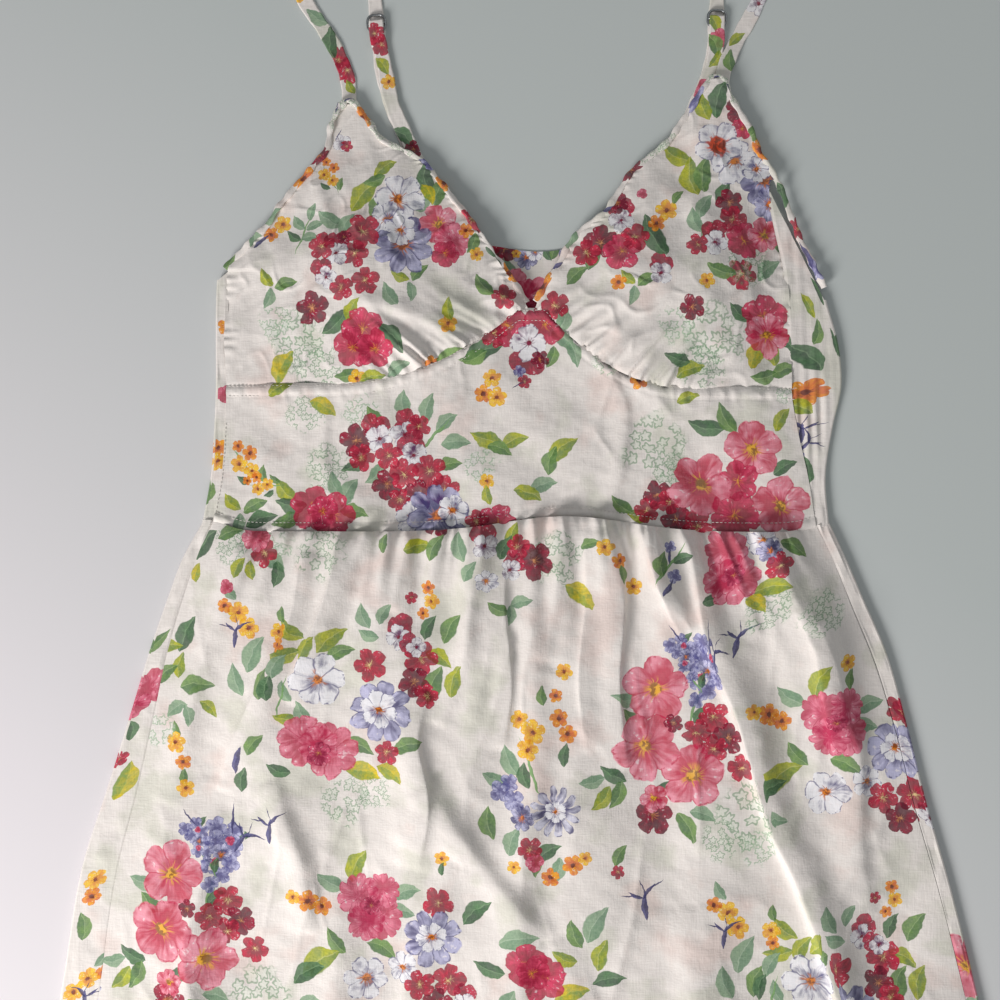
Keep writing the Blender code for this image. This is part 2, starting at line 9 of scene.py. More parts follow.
import bmesh
import bpy
import numpy as np
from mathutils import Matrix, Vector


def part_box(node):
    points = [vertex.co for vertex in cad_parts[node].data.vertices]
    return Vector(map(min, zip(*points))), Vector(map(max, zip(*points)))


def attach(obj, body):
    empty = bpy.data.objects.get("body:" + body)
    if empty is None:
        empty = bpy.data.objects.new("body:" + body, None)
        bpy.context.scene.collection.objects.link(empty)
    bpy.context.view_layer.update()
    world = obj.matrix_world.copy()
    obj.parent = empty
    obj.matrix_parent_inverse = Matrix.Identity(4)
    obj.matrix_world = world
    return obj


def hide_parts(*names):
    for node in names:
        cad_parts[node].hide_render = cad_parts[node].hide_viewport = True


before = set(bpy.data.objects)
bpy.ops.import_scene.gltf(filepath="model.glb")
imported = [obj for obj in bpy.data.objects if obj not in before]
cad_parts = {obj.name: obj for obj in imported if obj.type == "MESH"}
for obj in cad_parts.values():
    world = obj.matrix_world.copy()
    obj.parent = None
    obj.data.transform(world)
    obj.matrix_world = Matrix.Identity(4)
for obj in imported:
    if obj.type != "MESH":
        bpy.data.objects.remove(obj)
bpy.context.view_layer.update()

MM = 0.001

# ---------------------------------------------------------------- the dress's sizes, as it was cut and laid

WAIST = 2.0
HEM = -475.0
HEM_RISE = 18.0
PEAK = 127.0
PEAK_HALF_WIDTH = 8.0
CUP_FOOT = 1.5
UNDERBUST = {-1: 84.0, 1: 80.5}
UNDERBUST_REACH = {-1: 110.0, 1: 85.0}
UNDERBUST_POWER = 2.15
BACK_TOP = 167.0
BACK_TOP_DIP = 6.0
BACK_TOP_ENDS = (-100, 80)
BODICE_TOPS = {"left_fold": 146.0, "left_seam": 151.0, "right_seam": 195.0, "right_fold": 130.5}
SIDES = ("left_fold", "left_seam", "right_seam", "right_fold")

UNDER_LAYER = 0.7       # height of the back where it lies on the surface
WRAP_LAYER = 3.9        # height of the back where it folds over to the front
FOLD_TURN = 1.6         # radius of that fold
FRONT_LOWEST = 2.3
BINDING_WIDTH = 3.7
BINDING_DEPTH = 2.2
RIBBON_WIDTH = 8.8
RIBBON_DEPTH = 1.15
SLIDER_WIDTH = 12.0
SLIDER_LENGTH = 11.0
SLIDER_WIRE = 0.72
SLIDER_CORNER = 3.6
SEAM_TUCK = 1.6         # how far a gathered piece goes on under the piece that it is sewn to
SEAM_RIDGE = 0.8        # extra height of the turned cloth along a seam
PLEAT_TAKES = 18.0      # cloth taken up by the long pleat on the right

Level = namedtuple("Level", "height left_fold left_seam right_seam right_fold")
BODICE = [
    Level(200, -184, -178, 136, 146),
    Level(168, -185, -178, 143, 157),
    Level(150, -187, -180, 147, 165),
    Level(128, -188, -182, 149, 171),
    Level(106, -188, -182, 150, 177),
    Level(82, -188, -181, 150, 179),
    Level(58, -189, -182, 154, 174),
    Level(30, -191, -184, 160, 170),
    Level(WAIST, -196, -189, 164, 172),
]
SKIRT = [
    Level(WAIST, -196, -189, 164, 172),
    Level(-20, -208, -199, 174, 182),
    Level(-44, -217, -208, 184, 192),
    Level(-70, -226, -216, 195, 203),
    Level(-116, -240, -226, 209, 216),
    Level(-162, -254, -236, 220, 227),
    Level(-206, -268, -247, 232, 239),
    Level(-282, -281, -258, 250, 257),
    Level(-380, -296, -272, 271, 278),
    Level(HEM, -310, -284, 289, 296),
]

Rise = namedtuple("Rise", "centre reach height")
WAIST_LEVEL = -5.0
WAIST_RISES = [Rise(20, 50, 9), Rise(-193, 16, 7), Rise(172, 16, 5)]

Point = namedtuple("Point", "x y")
LEFT_ARMHOLE = [Point(-183, 153.5), Point(-176, 161), Point(-157, 179), Point(-149, 192), Point(-131, 212),
                Point(-123, 222), Point(-120, 238), Point(-114, 250)]
LEFT_NECK = [Point(-103, 250), Point(-97, 242), Point(-85, 228), Point(-65, 216), Point(-50, 200),
             Point(-35, 180), Point(-18, 156), Point(-1, 131.5)]
RIGHT_ARMHOLE = [Point(170, 138), Point(162, 156), Point(155, 171), Point(148, 189), Point(142, 203),
                 Point(133, 217), Point(127, 232), Point(118, 247), Point(113, 259)]
RIGHT_NECK = [Point(101, 259), Point(90, 241), Point(77, 224), Point(56, 205), Point(41, 183),
              Point(25, 170), Point(14, 154), Point(1, 131.5)]

Swell = namedtuple("Swell", "x y reach_x reach_y height")
SWELLS = [
    Swell(-88, 140, 58, 52, 12),
    Swell(84, 140, 54, 54, 12),
    Swell(107, 252, 22, 22, 2.4),
    Swell(-60, -250, 120, 190, 3),
    Swell(120, -300, 90, 190, 3),
    Swell(20, 40, 90, 40, 1.5),
]

# The main folds: each a route down the cloth.  A crisp fold is steep on one side, like a laid-over pleat.
Fold = namedtuple("Fold", "route reach height crisp")
FOLDS = [
    Fold([(92, -5), (98, -43), (105, -75), (119, -105), (129, -138), (141, -175), (155, -204), (171, -250),
          (190, -310), (214, -390)], 11, 7.5, -0.8),
    Fold([(64, -2), (72, -26), (80, -47), (92, -68)], 9, 4.5, -0.7),
    Fold([(70, -29), (86, -49), (100, -66), (105, -78)], 7, 2.6, -0.6),
    Fold([(166, -16), (176, -99), (180, -114), (187, -130), (187, -183), (194, -225)], 10, 4.2, 0.5),
    Fold([(164, -6), (171, -28), (180, -48), (190, -63), (197, -74)], 6, 3.0, 0.5),
    Fold([(150, -46), (162, -69), (165, -84), (175, -135)], 8, 3.4, -0.6),
    Fold([(-62, -97), (-68, -126), (-62, -161), (-68, -200)], 10, 4.6, 0.6),
    Fold([(-110, -6), (-116, -38), (-130, -74), (-143, -103)], 9, 5.2, -0.7),
    Fold([(-131, -16), (-138, -56), (-155, -92), (-173, -127), (-184, -157)], 10, 4.8, -0.6),
    Fold([(-152, -150), (-143, -177), (-134, -202), (-131, -240)], 9, 4.2, 0.5),
    Fold([(-62, -150), (-30, -196), (8, -240)], 10, 4.0, 0.5),
    Fold([(-45, -196), (-62, -237), (-77, -290)], 10, 4.0, -0.5),
    Fold([(-15, -3), (-18, -44), (-14, -90), (-18, -130)], 9, 4.4, 0.6),
    Fold([(14, -3), (13, -38), (8, -78)], 8, 3.6, 0.5),
    Fold([(32, -2), (34, -43), (30, -90), (34, -130)], 9, 4.4, -0.6),
    Fold([(47, -2), (51, -43), (48, -90), (54, -140)], 9, 4.6, 0.6),
    Fold([(-27, -3), (-36, -44), (-41, -79), (-54, -116)], 9, 4.2, 0.5),
    Fold([(-71, -3), (-77, -26), (-82, -50)], 7, 3.4, 0.5),
    Fold([(-92, -3), (-96, -36), (-106, -70)], 7, 3.0, -0.5),
    Fold([(-170, -12), (-180, -44), (-194, -80), (-209, -122), (-221, -164)], 9, 4.2, -0.5),
    Fold([(-182, -9), (-197, -44), (-209, -68)], 6, 2.6, 0.4),
    Fold([(118, -4), (122, -30), (130, -64)], 7, 3.0, 0.5),
    Fold([(140, -5), (148, -34), (160, -60)], 7, 3.0, -0.5),
    Fold([(16, -84), (8, -120), (0, -160), (-8, -220), (-4, -300)], 12, 4.0, 0.3),
    Fold([(-190, -150), (-200, -250), (-216, -360), (-234, -474)], 14, 5.0, 0.3),
    Fold([(-110, -210), (-116, -300), (-130, -390), (-140, -474)], 14, 5.0, -0.3),
    Fold([(-64, -300), (-50, -380), (-56, -474)], 14, 4.5, 0.3),
    Fold([(14, -240), (34, -300), (50, -380), (56, -474)], 14, 5.0, 0.4),
    Fold([(88, -220), (100, -300), (116, -390), (128, -474)], 15, 5.0, -0.3),
    Fold([(206, -250), (222, -340), (244, -474)], 12, 4.5, 0.3),
    Fold([(-120, 80), (-122, 44), (-120, 16)], 5, 1.3, 0.5),
    Fold([(38, 98), (54, 70), (52, 36), (46, 14)], 6, 1.9, 0.6),
    Fold([(60, 88), (82, 44), (92, 14)], 11, 1.6, 0),
    Fold([(-96, 118), (-80, 104), (-64, 93)], 6, 1.8, 0.4),
    Fold([(100, -80), (90, -130), (94, -190)], 12, 1.8, 0),
    Fold([(-60, -170), (-30, -186), (10, -176)], 16, 1.8, 0),
    Fold([(-40, 103), (-60, 118), (-84, 128), (-104, 132)], 6, 2.2, 0.5),
    Fold([(-54, 97), (-78, 110), (-98, 112)], 5, 1.8, 0.5),
    Fold([(34, 100), (50, 118), (62, 142)], 6, 2.0, -0.5),
    Fold([(46, 94), (66, 106), (88, 116)], 6, 1.8, -0.5),
    Fold([(-64, 200), (-84, 182), (-108, 172)], 7, 1.6, 0.4),
    Fold([(92, 176), (96, 204), (100, 232)], 6, 1.6, 0.5),
    Fold([(-128, 204), (-120, 182), (-124, 160)], 6, 1.3, 0.3),
]

StrapPoint = namedtuple("StrapPoint", "x y lift tilt")
FLAT = 0.62
ON_EDGE = RIBBON_WIDTH / 2 + 0.3
STRAPS = {
    "left": [StrapPoint(*row) for row in (
        (-108.5, 240, FLAT, 0), (-108.5, 263, FLAT, 0), (-114, 278, FLAT, 0), (-122, 292, FLAT, 0),
        (-134, 311, FLAT + 0.3, 0), (-147, 336, FLAT + 2.4, 20), (-156, 364, ON_EDGE, 75),
        (-154, 394, ON_EDGE, 90), (-134, 414, ON_EDGE, 90), (-111, 404, ON_EDGE, 90),
        (-99, 378, ON_EDGE, 75), (-94, 346, FLAT + 2.4, 20), (-93, 322, FLAT + 0.2, 0),
        (-92, 300, FLAT, 0), (-89, 275, FLAT, 0), (-83, 249, FLAT, 0), (-72, 222, FLAT, 0),
        (-62, 195, FLAT, 0), (-58, 169, FLAT, 0),
    )],
    "right": [StrapPoint(*row) for row in (
        (110, 247, 3.7, 0), (111, 261, 3.7, 0), (115.5, 273, 2.6, 0), (121, 285, FLAT + 0.2, 0),
        (131, 304, FLAT, 0), (143, 330, FLAT + 2.4, 20), (154, 360, ON_EDGE, 75), (153, 390, ON_EDGE, 90),
        (136, 409, ON_EDGE, 90), (117, 398, ON_EDGE, 90), (109, 372, ON_EDGE, 75),
        (107.5, 342, FLAT + 2.4, 20), (108, 318, FLAT + 0.2, 0), (108, 298, FLAT, 0), (106, 276, FLAT, 0),
        (101, 258, FLAT, 0), (88, 226, FLAT, 0), (72, 195, FLAT, 0), (63, 169, FLAT, 0),
    )],
}
# The ply that doubles back under each slider, from the slider down to the back's top edge, as (x, y)
RETURNS = {
    "left": [(-92.3, 303.2), (-92, 300), (-91.6, 296), (-91, 289), (-88, 275), (-82, 249), (-71, 222),
             (-61, 195), (-57.5, 169)],
    "right": [(108, 301.2), (108, 298), (107.8, 294), (107.6, 287), (106.8, 276), (102, 258), (88.5, 226),
              (72, 195), (63, 169)],
}
SLIDERS = {"left": (-91.7, 297.0, 4.0), "right": (107.8, 295.0, -3.0)}     # x, y, turn in degrees


# ---------------------------------------------------------------- where things are

low_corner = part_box("skirt_back")[0]
SHIFT = np.array([SKIRT[-1].left_fold - low_corner.x / MM, HEM - low_corner.y / MM, 0.0])


def in_frame(points):
    """Points of the dress's own measures, in millimetres, as places in the frame, in metres."""
    return (np.asarray(points, dtype=float) - SHIFT) * MM


def bump(distance, reach):
    return np.exp(-(distance / reach) ** 2)


def eased(places, values, at):
    """A smooth curve through a few values, read at many places."""
    places = np.asarray(places, dtype=float)
    values = np.asarray(values, dtype=float)
    slopes = np.gradient(values, places)
    i = np.clip(np.searchsorted(places, at) - 1, 0, len(places) - 2)
    gap = places[i + 1] - places[i]
    t = np.clip((at - places[i]) / gap, 0, 1)
    return ((2 * t ** 3 - 3 * t ** 2 + 1) * values[i] + (t ** 3 - 2 * t ** 2 + t) * gap * slopes[i]
            + (3 * t ** 2 - 2 * t ** 3) * values[i + 1] + (t ** 3 - t ** 2) * gap * slopes[i + 1])


def column(levels, name, height):
    """One column of a level table, read smoothly at any heights."""
    upward = levels[::-1]
    return eased([level.height for level in upward], [getattr(level, name) for level in upward], height)


def waist(x):
    return WAIST_LEVEL + sum(rise.height * bump(x - rise.centre, rise.reach) for rise in WAIST_RISES)


def hem(x):
    return HEM + HEM_RISE * (x / 300) ** 2


def underbust(x):
    x = np.asarray(x, dtype=float)
    side = np.where(x < 0, UNDERBUST[-1], UNDERBUST[1])
    reach = np.where(x < 0, UNDERBUST_REACH[-1], UNDERBUST_REACH[1])
    climb = np.clip(1 - (np.sqrt(x ** 2 + 4) - PEAK_HALF_WIDTH) / reach, 0, 1)
    return side + (PEAK - side) * climb ** UNDERBUST_POWER


def back_top(x):
    places = (BODICE[2].left_fold, *BACK_TOP_ENDS, BODICE[3].right_fold)
    heights = (BODICE_TOPS["left_fold"], BACK_TOP, BACK_TOP, BODICE_TOPS["right_fold"])
    return np.interp(x, places, heights) - BACK_TOP_DIP * bump(x - 5, 28)


def smooth_route(points, count):
    """Evenly spaced points on a rounded line through the given ones."""
    points = np.array([tuple(point) for point in points], dtype=float)
    ends = np.vstack([2 * points[0] - points[1], points, 2 * points[-1] - points[-2]])
    fine = []
    for i in range(1, len(ends) - 2):
        p0, p1, p2, p3 = ends[i - 1:i + 3]
        for t in np.linspace(0, 1, 12, endpoint=False):
            fine.append(0.5 * (2 * p1 + (p2 - p0) * t + (2 * p0 - 5 * p1 + 4 * p2 - p3) * t ** 2
                               + (3 * p1 - p0 - 3 * p2 + p3) * t ** 3))
    fine.append(points[-1])
    fine = np.array(fine)
    lengths = np.concatenate([[0], np.cumsum(np.linalg.norm(np.diff(fine, axis=0), axis=1))])
    places = np.linspace(0, lengths[-1], count)
    return np.column_stack([np.interp(places, lengths, fine[:, i]) for i in range(fine.shape[1])])


def moved_aside(line, distance):
    """A plan line moved to its left by a distance."""
    direction = np.gradient(line, axis=0)
    direction /= np.linalg.norm(direction, axis=1)[:, None]
    return line + np.asarray(distance)[..., None] * np.column_stack([-direction[:, 1], direction[:, 0]])


def route_offset(route, x, y):
    """Signed distance of every point to a route, positive on its left, and how far along it is, 0 to 1."""
    points = smooth_route(route, 5 * len(route))
    steps = np.diff(points, axis=0)
    lengths = np.linalg.norm(steps, axis=1)
    before = np.concatenate([[0], np.cumsum(lengths)])
    best = np.full(x.shape, 1e9)
    along = np.zeros(x.shape)
    for i, (start, step) in enumerate(zip(points, steps)):
        t = np.clip(((x - start[0]) * step[0] + (y - start[1]) * step[1]) / lengths[i] ** 2, 0, 1)
        away_x = x - start[0] - step[0] * t
        away_y = y - start[1] - step[1] * t
        distance = np.hypot(away_x, away_y) * np.where(step[0] * away_y - step[1] * away_x < 0, -1, 1)
        nearer = np.abs(distance) < np.abs(best)
        best = np.where(nearer, distance, best)
        along = np.where(nearer, (before[i] + t * lengths[i]) / before[-1], along)
    return best, along


def ripples(x, y, size, seed):
    """Soft uneven ripples about as wide as size, between -1 and 1."""
    dice = np.random.default_rng(seed)
    total = np.zeros(np.shape(x))
    for _ in range(9):
        turn = dice.uniform(0, np.pi)
        wave = 2 * np.pi / (size * dice.uniform(1.2, 3.2))
        total += np.sin(wave * (x * np.cos(turn) + y * np.sin(turn)) + dice.uniform(0, 2 * np.pi))
    return total / 5


def creases(x, y, size, seed):
    """Thin crooked creases about a size apart, between 0 and 1."""
    bent_x = x + 0.3 * size * ripples(x, y, size, seed + 50)
    bent_y = y + 0.3 * size * ripples(x, y, size, seed + 51)
    return np.clip(1 - 3.2 * np.abs(ripples(bent_x, bent_y, size, seed)), 0, 1) ** 1.5 * np.clip(
        0.5 + ripples(x, y, 2 * size, seed + 52), 0, 1)


def front_height(x, y):
    """Height of the front over the surface: side-seam height with its swellings and folds."""
    height = np.full(np.shape(x), WRAP_LAYER)
    for swell in SWELLS:
        height += swell.height * bump(x - swell.x, swell.reach_x) * bump(y - swell.y, swell.reach_y)
    for fold in FOLDS:
        distance, along = route_offset(fold.route, x, y)
        runs_off = (fold.route[-1][1] < HEM + 5) & (along > 0.5)
        fade = np.where(runs_off, 1, np.sin(np.pi * along) ** 0.5)
        beside = np.where((np.abs(along - 0.5) < 0.499) | runs_off, 1, 0.0)
        steepness = abs(fold.crisp)
        reach = fold.reach * np.where(distance * fold.crisp > 0, 1 - 0.75 * steepness, 1 + 0.3 * steepness)
        height += fold.height * bump(distance, reach) * (0.1 + 0.9 * fade) * (0.4 + 0.6 * beside)
    return height


def fold_laps(x, y):
    """How far the crest of each crisp fold leans over its steep side."""
    lean = np.zeros(np.shape(x))
    for fold in FOLDS:
        if abs(fold.crisp) >= 0.6:
            distance, along = route_offset(fold.route, x, y)
            fade = np.sin(np.pi * along) ** 0.5 * (np.abs(along - 0.5) < 0.499)
            lean += np.sign(fold.crisp) * 0.5 * fold.height * fade * bump(distance, 0.3 * fold.reach)
    return lean


def side_fade(x, left, right, width=22):
    """0 at the side seams, where the front joins the folded back, and 1 away from them."""
    return np.clip(np.minimum(x - left, right - x) / width, 0, 1) ** 0.8


def gathers(across, down, count, seed, height, reach, lean=0.0):
    """Small uneven gathers that run on from a seam, across in parts of its length and down in millimetres.

    lean is how far they slant, in parts of the seam's length for each millimetre.
    """
    dice = np.random.default_rng(seed)
    total = np.zeros(across.shape)
    for i in range(count):
        place = (i + dice.uniform(-0.35, 0.35)) / count
        width = dice.uniform(0.22, 0.5) / count
        tall = height * dice.uniform(0.4, 1.25)
        length = reach * dice.uniform(0.35, 1.5)
        drift = dice.uniform(-0.5, 0.5) / count
        centre = place + drift * down / length + lean * down
        spread = width * (1 + 0.8 * np.clip(down / length, 0, 2))
        total += tall * np.exp(-((across - centre) / spread) ** 2) * np.exp(-(down / length) ** 1.5)
    return total


# ---------------------------------------------------------------- the print

def colour(hex_text):
    """An sRGB hex colour as linear red, green, blue and alpha."""
    parts = [int(hex_text[i:i + 2], 16) / 255 for i in (1, 3, 5)]
    return (*[c / 12.92 if c <= 0.04045 else ((c + 0.055) / 1.055) ** 2.4 for c in parts], 1.0)


# How each thing in the print is painted.  Flowers come first, then leaves and strokes, then line drawings.
# notch is how deep a flower's petals are cut, or a leaf's half width over its half length; heart is the size
# of a flower's middle, and bright how much of the lighter colour shows.
Style = namedtuple("Style", "dark light centre petals notch heart bright")
STYLES = {
    "peony": Style("#BE284F", "#F190A4", "#B92850", 8, 0.17, 0.0, 0.40),
    "peony_heart": Style("#93193F", "#E0607F", "#E09A5A", 6, 0.30, 0.10, 0.34),
    "dog_rose": Style("#C4224A", "#F3A0B0", "#EFB02E", 5, 0.24, 0.20, 0.46),
    "red_rose": Style("#A5163A", "#DF4A6C", "#EE9A34", 5, 0.22, 0.10, 0.40),
    "carnation": Style("#C02F57", "#EF8AA0", "#A82650", 11, 0.15, 0.0, 0.42),
    "primrose": Style("#8E1530", "#D0344F", "#EBCB8E", 5, 0.34, 0.12, 0.42),
    "dark_primrose": Style("#5F1029", "#A3213F", "#DE935A", 5, 0.34, 0.12, 0.38),
    "viola_hood": Style("#8A1533", "#CC3C56", "#8A1533", 3, 0.28, 0.0, 0.40),
    "viola_face": Style("#5A3A66", "#F2F0F2", "#8C2A4A", 4, 0.30, 0.15, 0.86),
    "pansy": Style("#403D78", "#F4F2F5", "#DE4A1E", 5, 0.20, 0.36, 1.0),
    "anemone": Style("#403D78", "#F4F2F5", "#E5821C", 6, 0.22, 0.19, 1.0),
    "violet_anemone": Style("#39376F", "#C3C1DF", "#E0761F", 8, 0.26, 0.19, 0.52),
    "daisy": Style("#37356C", "#DEDCEC", "#DDA648", 12, 0.55, 0.18, 0.52),
    "yellow_flower": Style("#E48F18", "#FACB3A", "#97401A", 5, 0.32, 0.20, 0.56),
    "orange_flower": Style("#D9661A", "#F7A930", "#742A18", 5, 0.34, 0.24, 0.46),
    "lilac_floret": Style("#53518D", "#BBBADB", "#E6D98A", 4, 0.34, 0.0, 0.42),
    "pink_bud": Style("#B3264B", "#E87B94", "#C23A5C", 3, 0.24, 0.0, 0.40),
    "mid_leaf": Style("#4B7541", "#8BAA66", "#BCD397", 1, 0.52, 0.0, 0.5),
    "deep_leaf": Style("#34593C", "#6C9067", "#9DBE90", 1, 0.50, 0.0, 0.5),
    "sage_leaf": Style("#6C9271", "#A5BC9C", "#C9D8C0", 1, 0.54, 0.0, 0.5),
    "lime_leaf": Style("#6F8C2E", "#C6C63F", "#DCD992", 1, 0.52, 0.0, 0.5),
    "yellow_leaf": Style("#7E9B34", "#EBCB2C", "#C9C850", 1, 0.56, 0.0, 0.5),
    "stem": Style("#6C9A5C", "#8FB578", "#8FB578", 1, 0.05, 0.0, 0.5),
    "ink_stroke": Style("#36335F", "#7371A0", "#36335F", 1, 0.22, 0.0, 0.5),
    "fine_stroke": Style("#36335F", "#5A5788", "#36335F", 1, 0.09, 0.0, 0.5),
    "hydrangea": Style("#5F9465", "#DCE7D3", "#DCE7D3", 2.7, 0.0, 0.0, 0.5),
    "pale_sprig": Style("#8AB48B", "#E6EDE1", "#E6EDE1", 2.0, 0.0, 0.0, 0.5),
}
FLOWER_STYLES = 17      # how many of the styles above, from the first, are flowers
LINE_STYLES = 2         # and how many, at the end, are line drawings
STYLE_SLOTS = 32        # places along a ramp, one for each style and some spare
MOST_PETALS = 16
STYLE_PLACES = {name: i for i, name in enumerate(STYLES)}

# One painted thing: its style or the name of a spray, its place, its radius or half length, and its turn in
# degrees.  Places and sizes are in millimetres, and inside a spray in parts of the spray's own size.  Later
# things are painted over earlier ones.
Paint = namedtuple("Paint", "style x y size turn", defaults=[0])


def paints(*rows):
    return [Paint(*row) for row in rows]


SPRAYS = {
    "viola": paints(("viola_hood", 0, 0.5, 0.95, 90), ("viola_face", 0, -0.2, 0.9, 20)),
    "bird": paints(
        ("ink_stroke", 0, -0.35, 0.9, 80), ("ink_stroke", 0.4, 0.35, 0.6, 35),
        ("ink_stroke", -0.4, 0.3, 0.5, 140), ("fine_stroke", 0.95, 0.6, 0.5, 15),
        ("fine_stroke", -0.8, 0.4, 0.5, 165), ("fine_stroke", 0.1, 0.8, 0.4, 100),
    ),
    "leaf_trio": paints(
        ("mid_leaf", 0.8, 0.1, 0.75, 5), ("lime_leaf", -0.35, 0.65, 0.65, 115),
        ("sage_leaf", -0.4, -0.6, 0.65, 235),
    ),
    "sage_spray": paints(
        ("stem", 0, 0, 1.1, 90), ("sage_leaf", 0.4, 0.5, 0.45, 35), ("sage_leaf", -0.4, 0.35, 0.45, 150),
        ("sage_leaf", 0.4, -0.1, 0.45, 20), ("deep_leaf", -0.4, -0.3, 0.42, 165),
        ("sage_leaf", 0, 1.05, 0.42, 90),
    ),
    "yellow_sprig": paints(
        ("stem", 0, -0.2, 1.2, 100), ("mid_leaf", 0.5, -0.8, 0.45, 60), ("deep_leaf", -0.5, -0.6, 0.4, 130),
        ("yellow_flower", -0.3, 0.2, 0.48), ("orange_flower", 0.45, 0.4, 0.42, 30),
        ("yellow_flower", 0.1, -0.4, 0.45, 15), ("orange_flower", 0.1, 1.0, 0.34, 10),
    ),
    "lavender": paints(
        ("stem", 0, -0.2, 1.1, 95), ("deep_leaf", 0.25, -0.8, 0.3, 60), ("deep_leaf", 0.3, 0.85, 0.25, 40),
        ("lilac_floret", -0.4, 0.8, 0.3), ("lilac_floret", 0.05, 0.85, 0.28, 40),
        ("lilac_floret", -0.25, 0.5, 0.3, 20), ("lilac_floret", 0.2, 0.5, 0.28, 60),
        ("violet_anemone", -0.02, 0.2, 0.32), ("lilac_floret", 0.28, 0.1, 0.26, 30),
        ("lilac_floret", -0.2, -0.1, 0.26, 10), ("lilac_floret", 0.15, -0.25, 0.26, 50),
        ("lilac_floret", 0, -0.55, 0.22), ("pink_bud", 0.05, 0.62, 0.13), ("pink_bud", -0.12, 0, 0.12),
        ("fine_stroke", -0.1, 1.15, 0.4, 110),
    ),
    "bluebells": paints(
        ("stem", 0, 0, 1.2, 80), ("mid_leaf", -0.4, -0.1, 0.55, 110), ("deep_leaf", 0.4, 0.5, 0.5, 45),
        ("lilac_floret", -0.35, 0.7, 0.3), ("ink_stroke", -0.2, 0.3, 0.35, 110),
        ("lilac_floret", 0.35, -0.4, 0.35, 30), ("ink_stroke", 0.35, -0.9, 0.4, 95),
    ),
}

